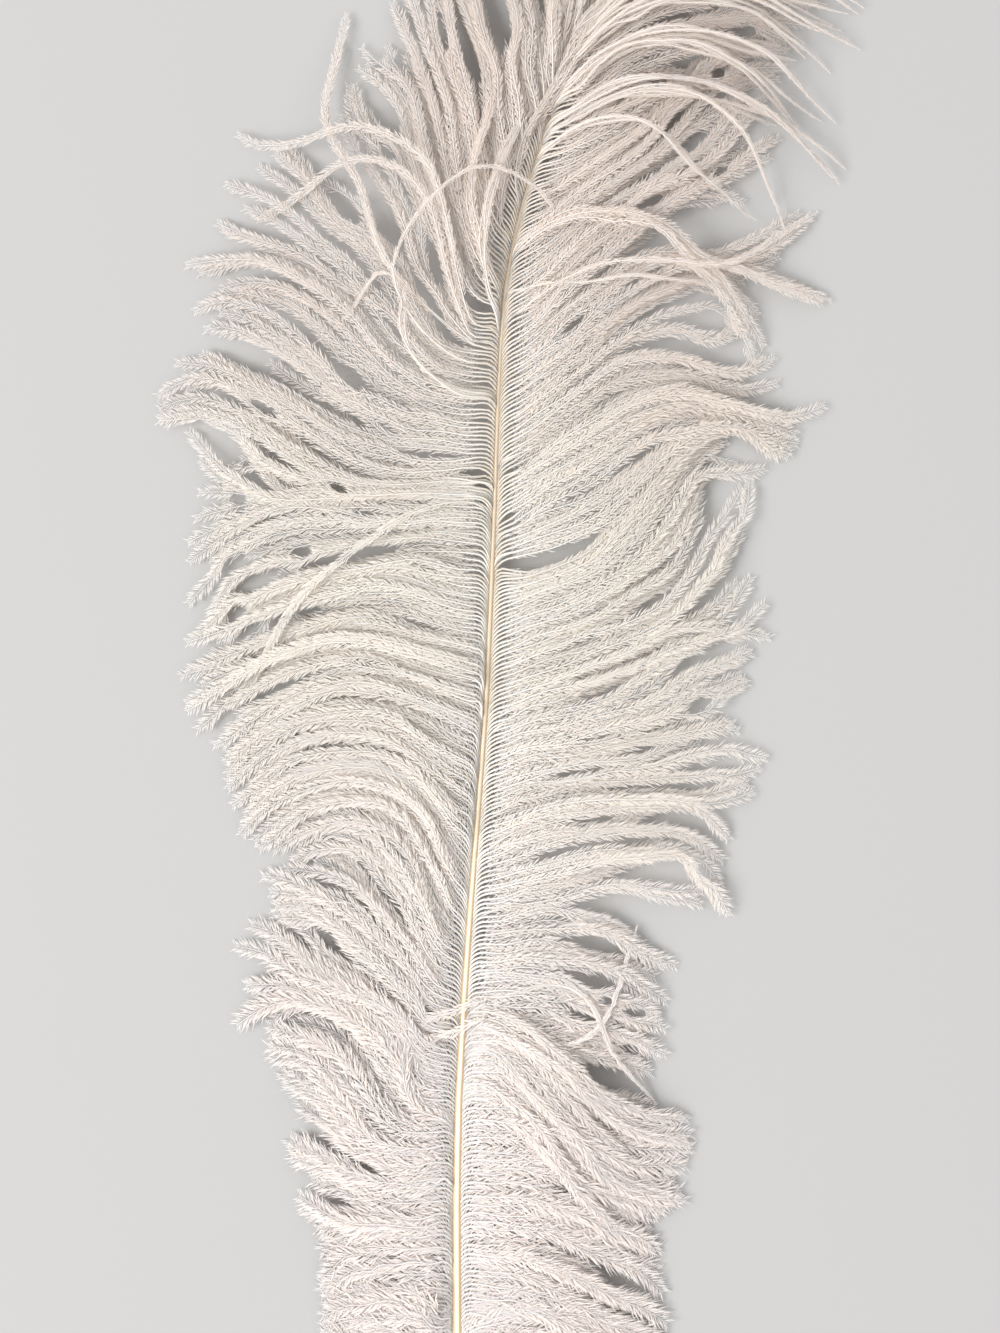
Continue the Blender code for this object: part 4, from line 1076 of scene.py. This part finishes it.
def make_vane(name, members, chance):
    """One mesh object from these barbs, with their stalks and barbules."""
    all_corners, all_faces, first = [], [], 0
    numbers = {"along": [], "tone": [], "fringe": []}
    for root, route, folded in members:
        fluff = float(ease((root - DOWN_BEGINS) / (FLUFFY_FROM - DOWN_BEGINS)))
        comb = float(np.interp(root, COMB_ROWS, COMB)) * chance.uniform(*COMB_CHANCE)
        own_tone = chance.random()
        slim = float(np.interp(root, SLIM_ROWS, SLIM))
        stalk = stalk_mesh(route, folded)
        leaves = barbule_mesh(route, chance, fluff, folded, comb, slim)
        for corners, faces in (stalk, leaves):
            all_corners.append(corners)
            all_faces.append(faces + first)
            first += len(corners)
            reach = np.linalg.norm(corners - route[0], axis=1) / along_route(route)[-1]
            numbers["along"].append(np.clip(reach, 0, 1))
            numbers["tone"].append(np.full(len(corners), own_tone))
        numbers["fringe"] += [np.zeros(len(stalk[0])), np.tile(LEAF_FRINGE, len(leaves[0]) // 4)]
    mesh = mesh_from_arrays(name, np.vstack(all_corners), np.vstack(all_faces))
    for label, values in numbers.items():
        add_numbers(mesh, label, values)
    vane = bpy.data.objects.new(name, mesh)
    bpy.context.scene.collection.objects.link(vane)
    print(name, "barbs", len(members), "triangles", len(mesh.polygons))
    return vane


vanes = []
for sign, side in ((-1, "left"), (1, "right")):
    for label, low, high in BANDS:
        members = [barb for barb in barbs[sign] if low <= barb[0] < high]
        vanes.append(make_vane(f"barbs_{side}_{label}", members, chance))
print("triangles in all vanes:", sum(len(vane.data.polygons) for vane in vanes))

# %% [markdown]
# ## The shaft
# The shaft is a quill below and a stiff stem above. In section it has a raised ridge on its back and
# two lower shoulders, where the barbs stand. Its finish paints the ridge bright and the shoulders
# tan, partly as painted highlight and shade. It is pulled out of one ring in edit mode: the ring is
# extruded from station to station and resized to the width there. The ring's corners are written in
# widths of the shaft, across and up.

# %% Pull the shaft out of a ring
RING = (
    (0.50, -0.02), (0.46, 0.14), (0.33, 0.22), (0.24, 0.36), (0.10, 0.44),
    (-0.10, 0.44), (-0.24, 0.36), (-0.33, 0.22), (-0.46, 0.14), (-0.50, -0.02),
    (-0.40, -0.28), (-0.22, -0.42), (0.0, -0.36), (0.22, -0.42), (0.40, -0.28),
)


def station(row):
    """The middle of the shaft at one row of its route, and its width there, in metres."""
    x, y, width, lift = row
    width, lift = width / 1000, lift / 1000
    return spread(x, y, lift + width * SHAFT_UNDERSIDE), width


def pull_shaft():
    """The shaft, extruded ring by ring from the end of the quill to the tip."""
    bpy.ops.object.select_all(action="DESELECT")
    bpy.ops.mesh.primitive_circle_add(vertices=len(RING), radius=1, fill_type="NGON")
    shaft = bpy.context.active_object
    shaft.name = "shaft"
    start, width = station(SHAFT_ROUTE[0])
    for corner, (across, up) in zip(shaft.data.vertices, RING):
        corner.co = Vector(start) + Vector((across * width, 0, up * width))
    bpy.ops.object.mode_set(mode="EDIT")
    bpy.ops.mesh.select_all(action="SELECT")
    for row in SHAFT_ROUTE[1:]:
        place, next_width = station(row)
        bpy.ops.mesh.extrude_region_move(TRANSFORM_OT_translate={"value": Vector(place - start)})
        bpy.ops.transform.resize(value=(next_width / width,) * 3, center_override=tuple(place))
        start, width = place, next_width
    bpy.ops.mesh.select_all(action="SELECT")
    bpy.ops.mesh.normals_make_consistent(inside=False)
    bpy.ops.object.mode_set(mode="OBJECT")
    bpy.ops.object.shade_smooth()
    smooth = shaft.modifiers.new("smooth", "SUBSURF")
    smooth.levels = smooth.render_levels = 1
    bpy.ops.object.modifier_apply(modifier=smooth.name)
    return shaft


shaft = pull_shaft()
print("shaft:", len(shaft.data.polygons), "faces")

# %% [markdown]
# ## Ridge or shoulder
# The shaft's finish has to know where the ridge ends and a shoulder begins. So every corner gets a
# number: how far it is aside of the middle line, in widths of the shaft at that place.

# %% How far each corner is aside
places = np.empty(3 * len(shaft.data.vertices), np.float32)
shaft.data.vertices.foreach_get("co", places)
places = places.reshape(-1, 3)
middles, widths, _ = shaft_row(MIDDLE_Y - places[:, 1] / PIXEL)
aside = abs(places[:, 0] - (middles - MIDDLE_X) * PIXEL) / widths
add_numbers(shaft.data, "aside", [aside])
print("the shaft's widest place:", round(1000 * widths.max(), 1), "mm")

# %% [markdown]
# ## Nodes in a few words
# Every finish below is built from the same few kinds of node, so short helpers add them. Each
# gives back the node's output, which can go straight into the next node.

# %% Helpers for nodes
MIX_FACTOR, MIX_BELOW, MIX_ABOVE, MIX_RESULT = 0, 6, 7, 2  # a Mix node's sockets for colours


def feed(tree, socket, value):
    """Give a socket its value: a number, a colour, or another node's output."""
    if isinstance(value, tuple):
        socket.default_value = (*value, 1)
    elif isinstance(value, (int, float)):
        socket.default_value = value
    else:
        tree.links.new(value, socket)


def attribute(tree, name):
    """The number that the mesh's corners carry under this name."""
    node = tree.nodes.new("ShaderNodeAttribute")
    node.attribute_name = name
    return node.outputs["Fac"]


def number_node(tree, kind, *values):
    """A math node of this kind. Each value is a number or another node's output."""
    node = tree.nodes.new("ShaderNodeMath")
    node.operation = kind
    for socket, value in zip(node.inputs, values):
        feed(tree, socket, value)
    return node.outputs[0]


def blend_node(tree, kind, factor, below, above):
    """A colour mix of this kind. The factor and the two colours are values or outputs."""
    node = tree.nodes.new("ShaderNodeMix")
    node.data_type = "RGBA"
    node.blend_type = kind
    for socket, value in ((MIX_FACTOR, factor), (MIX_BELOW, below), (MIX_ABOVE, above)):
        feed(tree, node.inputs[socket], value)
    return node.outputs[MIX_RESULT]


def step_node(tree, value, edges):
    """0 below the first edge, 1 above the second, and smooth between."""
    node = tree.nodes.new("ShaderNodeMapRange")
    node.interpolation_type = "SMOOTHSTEP"
    node.inputs["From Min"].default_value, node.inputs["From Max"].default_value = edges
    tree.links.new(value, node.inputs["Value"])
    return node.outputs["Result"]


def noise_node(tree, place, scale=1, detail=2):
    """Soft noise from 0 to 1."""
    node = tree.nodes.new("ShaderNodeTexNoise")
    node.inputs["Scale"].default_value = scale
    node.inputs["Detail"].default_value = detail
    tree.links.new(place, node.inputs["Vector"])
    return node.outputs["Fac"]


# %% [markdown]
# ## The tint along the feather
# The colour drifts along the feather. Near the quill the down is a pinkish white, the middle is a
# neutral cream, and the head is darker, warmer and sandier. Barbs and shaft share that drift, so
# it is a node group: three colours go in, and the colour for this place on the feather comes out.
# It reads Object coordinates, with a little noise so that the drift has no straight edge.

# %% A node group for the drift of colour
QUILL_TO_MIDDLE = (-0.18, 0.10)  # metres along the feather between which one tint turns to the next
MIDDLE_TO_HEAD = (0.06, 0.20)
DRIFT = 0.08  # how far noise moves those places
DRIFT_WAVES = 22  # for each metre
TINT_NAMES = ("Quill Color", "Middle Color", "Head Color")


def tint_group():
    """Named inputs for the three colours, and one named output."""
    tree = bpy.data.node_groups.new("tint_along_feather", "ShaderNodeTree")
    for name in TINT_NAMES:
        tree.interface.new_socket(name, in_out="INPUT", socket_type="NodeSocketColor")
    tree.interface.new_socket("Color", in_out="OUTPUT", socket_type="NodeSocketColor")
    given, out = tree.nodes.new("NodeGroupInput"), tree.nodes.new("NodeGroupOutput")
    place = tree.nodes.new("ShaderNodeTexCoord").outputs["Object"]
    split = tree.nodes.new("ShaderNodeSeparateXYZ")
    tree.links.new(place, split.inputs[0])
    noise = noise_node(tree, place, DRIFT_WAVES, detail=1)
    moved = number_node(tree, "MULTIPLY_ADD", noise, DRIFT, split.outputs["Y"])
    moved = number_node(tree, "SUBTRACT", moved, DRIFT / 2)
    color = given.outputs["Quill Color"]
    for edges, above in ((QUILL_TO_MIDDLE, "Middle Color"), (MIDDLE_TO_HEAD, "Head Color")):
        color = blend_node(tree, "MIX", step_node(tree, moved, edges), color, given.outputs[above])
    tree.links.new(color, out.inputs["Color"])
    return tree


TINT = tint_group()


def tint_node(tree, colors):
    """The tint group placed in a material, with three colours from the quill to the head."""
    node = tree.nodes.new("ShaderNodeGroup")
    node.node_tree = TINT
    for name, color in zip(TINT_NAMES, colors):
        feed(tree, node.inputs[name], color)
    return node.outputs["Color"]


# %% [markdown]
# ## Hair that shines from above
# A hair lit by the whole sky has no dark side, but a leaf of four faces would show one. So the
# surface's normal is leaned towards straight up, or towards straight down for a face that looks
# down. Smooth shading can't do it, because a leaf this thin has too few corners to blend.

# %% A leaned normal, and new materials
def new_material(name):
    """A material with its own Principled BSDF, and the tree that it stands in."""
    material = bpy.data.materials.new(name)
    material.use_nodes = True
    return material, material.node_tree, material.node_tree.nodes["Principled BSDF"]


def soft_normal(tree, lean):
    """The surface's own normal, leaned towards straight up or straight down, whichever it faces."""
    own = tree.nodes.new("ShaderNodeNewGeometry").outputs["Normal"]
    split = tree.nodes.new("ShaderNodeSeparateXYZ")
    tree.links.new(own, split.inputs[0])
    up = tree.nodes.new("ShaderNodeCombineXYZ")
    sign = number_node(tree, "SIGN", split.outputs["Z"])
    tree.links.new(number_node(tree, "MULTIPLY", sign, lean), up.inputs["Z"])
    total = tree.nodes.new("ShaderNodeVectorMath")
    tree.links.new(own, total.inputs[0])
    tree.links.new(up.outputs[0], total.inputs[1])
    unit = tree.nodes.new("ShaderNodeVectorMath")
    unit.operation = "NORMALIZE"
    tree.links.new(total.outputs[0], unit.inputs[0])
    return unit.outputs[0]


# %% [markdown]
# ## The finish of the barbs
# A stalk is horn: smooth and a bright cream. Where it stands on the shaft it is tan, partly its own
# colour and partly painted shade of the narrow gaps beside the shaft. A barbule is a hundred times
# finer, and its tip is painted greyer: painted shade for the depth between the hairs. No two barbs
# are quite alike in tone. The three numbers on the mesh steer all that. A plume glows softly,
# because light slips from hair to hair inside it before it comes out again: that is what subsurface
# scattering does here. Every row of three colours below goes from the quill over the middle to the
# head.

# %% Barb finish
STALK_TINT = ((0.99, 0.89, 0.82), (0.98, 0.895, 0.77), (0.91, 0.78, 0.68))
# The fringe tints are painted shade: they make the tips of the barbules greyer, for the depth between
# hairs.
FRINGE_SHADE_TINT = ((0.99, 0.895, 0.835), (0.86, 0.79, 0.695), (0.79, 0.68, 0.59))
FRINGE_SHADE_STRENGTH = 0.85  # how much of the fringe's colour the tip of a barbule has
# The foot tints are partly the horn's own tan and partly painted shade of the narrow gaps beside the
# shaft.
FOOT_TAN_AND_SHADE = ((0.84, 0.74, 0.64), (0.54, 0.45, 0.35), (0.42, 0.35, 0.27))
FOOT_TAN_AND_SHADE_STRENGTH = 0.9
FOOT_FADE = 12  # how quickly, along a barb, its foot's colour of the shaft is gone
OUTER_COLOR = (0.84, 0.80, 0.785)  # a barb is a little greyer far out
OUTER_STRENGTH = 0.28
DARKEST_BARB = 0.90  # the tone of the darkest barb, where the brightest has 1
STALK_ROUGHNESS, FRINGE_ROUGHER = 0.45, 0.25
NORMAL_LEAN = 2.0  # straight up counts twice as much as a face's own normal
SCATTER = 0.6  # how much of the light takes the way through the plume
SCATTER_RADIUS = (1.0, 0.8, 0.6)  # red light gets furthest
GLOW = 0.0016  # metres that light travels inside the plume before it comes out again


def barb_material():
    """Cream stalks, barbule tips painted greyer as shade, and a tone for each barb."""
    material, tree, shader = new_material("ivory_barbs")
    along, fringe = attribute(tree, "along"), attribute(tree, "fringe")
    tone = number_node(tree, "MULTIPLY_ADD", attribute(tree, "tone"), 1 - DARKEST_BARB, DARKEST_BARB)
    color = blend_node(tree, "MULTIPLY", 1.0, tint_node(tree, STALK_TINT), tone)
    # Painted shade: the tips of the barbules are mixed towards the greyer fringe tints.
    fringe_shade = number_node(tree, "MULTIPLY", fringe, FRINGE_SHADE_STRENGTH)
    color = blend_node(tree, "MIX", fringe_shade, color, tint_node(tree, FRINGE_SHADE_TINT))
    # A barb's foot: partly its own tan, partly painted shade near the shaft.
    foot = number_node(tree, "MULTIPLY_ADD", along, -FOOT_FADE, FOOT_TAN_AND_SHADE_STRENGTH)
    foot = number_node(tree, "MAXIMUM", foot, 0.0)
    color = blend_node(tree, "MIX", foot, color, tint_node(tree, FOOT_TAN_AND_SHADE))
    outer = number_node(tree, "MULTIPLY", number_node(tree, "POWER", along, 2.0), OUTER_STRENGTH)
    color = blend_node(tree, "MIX", outer, color, OUTER_COLOR)
    tree.links.new(color, shader.inputs["Base Color"])
    rough = number_node(tree, "MULTIPLY_ADD", fringe, FRINGE_ROUGHER, STALK_ROUGHNESS)
    tree.links.new(rough, shader.inputs["Roughness"])
    tree.links.new(soft_normal(tree, NORMAL_LEAN), shader.inputs["Normal"])
    shader.inputs["Subsurface Weight"].default_value = SCATTER
    shader.inputs["Subsurface Radius"].default_value = SCATTER_RADIUS
    shader.inputs["Subsurface Scale"].default_value = GLOW
    return material


ivory = barb_material()
for vane in vanes:
    vane.data.materials.append(ivory)
    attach(vane, "root")
    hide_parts("feather")
print("barbs:", ivory.name, "with", len(ivory.node_tree.nodes), "nodes")

# %% [markdown]
# ## The finish of the shaft
# The ridge along the shaft's back is polished and nearly white, partly its own colour and partly
# painted highlight along the rounded back. The shoulders on either side of it are tan, partly their
# own colour and partly painted shade on the shaft's sides. Fine grain runs along the whole shaft.
# How far a corner is aside of the middle line tells ridge from shoulder, and a noise stretched
# along the feather gives the grain.

# %% Shaft finish
# The ridge tints are partly painted highlight, and the shoulder tints are partly painted shade.
RIDGE_TINT_AND_HIGHLIGHT = ((0.90, 0.80, 0.57), (0.56, 0.465, 0.345), (0.46, 0.375, 0.275))
SHOULDER_TINT_AND_SHADE = ((0.60, 0.45, 0.28), (0.50, 0.38, 0.25), (0.55, 0.44, 0.32))
RIDGE_EDGE = (0.08, 0.24)  # aside of the middle, in widths, where the ridge turns into shoulder
GRAIN = (2600, 60, 2600)  # waves for each metre: many across the shaft, few along it
GRAIN_DARKEST, GRAIN_RANGE = 0.85, 0.30  # how the grain shades the colour
SHAFT_ROUGHNESS, GRAIN_ROUGHER = 0.22, 0.25
BUMP_STRENGTH, BUMP_HEIGHT = 0.25, 0.0001
POLISH = 0.2


def shaft_material():
    """A bright ridge and tan shoulders, partly painted highlight and shade, lengthwise grain and a slight
    polish.
    """
    material, tree, shader = new_material("horn_shaft")
    # Painted highlight on the ridge and painted shade on the shoulders, each partly the horn's own colour.
    ridge, shoulder = tint_node(tree, RIDGE_TINT_AND_HIGHLIGHT), tint_node(tree, SHOULDER_TINT_AND_SHADE)
    color = blend_node(tree, "MIX", step_node(tree, attribute(tree, "aside"), RIDGE_EDGE), ridge, shoulder)
    mapping = tree.nodes.new("ShaderNodeMapping")
    mapping.inputs["Scale"].default_value = GRAIN
    tree.links.new(tree.nodes.new("ShaderNodeTexCoord").outputs["Object"], mapping.inputs["Vector"])
    grain = noise_node(tree, mapping.outputs[0])
    shade = number_node(tree, "MULTIPLY_ADD", grain, GRAIN_RANGE, GRAIN_DARKEST)
    tree.links.new(blend_node(tree, "MULTIPLY", 1.0, color, shade), shader.inputs["Base Color"])
    rough = number_node(tree, "MULTIPLY_ADD", grain, GRAIN_ROUGHER, SHAFT_ROUGHNESS)
    tree.links.new(rough, shader.inputs["Roughness"])
    bump = tree.nodes.new("ShaderNodeBump")
    bump.inputs["Strength"].default_value = BUMP_STRENGTH
    bump.inputs["Distance"].default_value = BUMP_HEIGHT
    tree.links.new(grain, bump.inputs["Height"])
    tree.links.new(bump.outputs[0], shader.inputs["Normal"])
    shader.inputs["Coat Weight"].default_value = POLISH
    return material


horn = shaft_material()
shaft.data.materials.append(horn)
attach(shaft, "root")
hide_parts("feather")
print("shaft:", horn.name, "with", len(horn.node_tree.nodes), "nodes")

# %% [markdown]
# ## A pale floor
# A white feather shows its form best on a plain grey floor that is a little darker than itself.
# The floor is there for the render only, and it lies half a millimetre under the feather.

# %% Floor
FLOOR_COLOR = (0.41, 0.405, 0.40)
FLOOR_ROUGHNESS = 0.9
FLOOR_SIZE = 40  # metres, so that no corner of it shows from low down
FLOOR_HEIGHT = -0.0005

bpy.ops.object.select_all(action="DESELECT")
bpy.ops.mesh.primitive_plane_add(size=FLOOR_SIZE, location=(0, 0, FLOOR_HEIGHT))
floor = bpy.context.active_object
floor.name = "floor"
paper, _, shader = new_material("pale_floor")
shader.inputs["Base Color"].default_value = (*FLOOR_COLOR, 1)
shader.inputs["Roughness"].default_value = FLOOR_ROUGHNESS
floor.data.materials.append(paper)
print("floor:", FLOOR_SIZE, "m wide")

# %% [markdown]
# ## Soft light
# Most of the light comes evenly from the whole sky, so that hairs cast no hard shadows. A large
# square light on the left adds just enough direction to tell one lock from the next, and a weak
# one on the right brightens the flanks that are turned away from it.

# %% Sky and lights
SKY_STRENGTH = 0.90
KEY_PLACE, KEY_SIZE, KEY_POWER = (-3.1, -0.8, 3.5), 2.6, 240  # metres and watts
FILL_PLACE, FILL_SIZE, FILL_POWER = (3.6, -1.2, 4.2), 3.0, 15

bpy.context.scene.view_settings.view_transform = "Standard"
world = bpy.data.worlds.new("studio")
bpy.context.scene.world = world
world.use_nodes = True
sky = world.node_tree.nodes["Background"]
sky.inputs["Color"].default_value = (1, 1, 1, 1)
sky.inputs["Strength"].default_value = SKY_STRENGTH


def soft_light(name, place, size, power):
    """A square area light that looks at the origin."""
    data = bpy.data.lights.new(name, "AREA")
    data.size = size
    data.energy = power
    lamp = bpy.data.objects.new(name, data)
    bpy.context.scene.collection.objects.link(lamp)
    lamp.location = place
    lamp.rotation_euler = (-Vector(place)).to_track_quat("-Z", "Y").to_euler()
    return lamp


key = soft_light("key", KEY_PLACE, KEY_SIZE, KEY_POWER)
fill = soft_light("fill", FILL_PLACE, FILL_SIZE, FILL_POWER)
print("lights:", key.name, key.data.energy, "W,", fill.name, fill.data.energy, "W")

# %% [markdown]
# ## A camera straight above
# The camera hangs over the middle of the picture. Its lens is worked out from the picture's own
# scale, so that the plume fills the render just as it fills the picture.

# %% Camera
CAMERA_HEIGHT = 1.3
SENSOR = 36  # millimetres
MEAN_HEIGHT = 0.008  # of the plume over the floor, where its scale is the picture's
picture_middle = spread(PHOTO_WIDTH / 2, PHOTO_HEIGHT / 2)
data = bpy.data.cameras.new("camera")
data.sensor_fit = "VERTICAL"
data.sensor_height = SENSOR
data.lens = SENSOR * (CAMERA_HEIGHT - MEAN_HEIGHT) / (PHOTO_HEIGHT * PIXEL)
camera = bpy.data.objects.new("camera", data)
bpy.context.scene.collection.objects.link(camera)
camera.location = (picture_middle[0], picture_middle[1], CAMERA_HEIGHT)
bpy.context.scene.camera = camera
print("camera:", round(data.lens, 1), "mm lens")
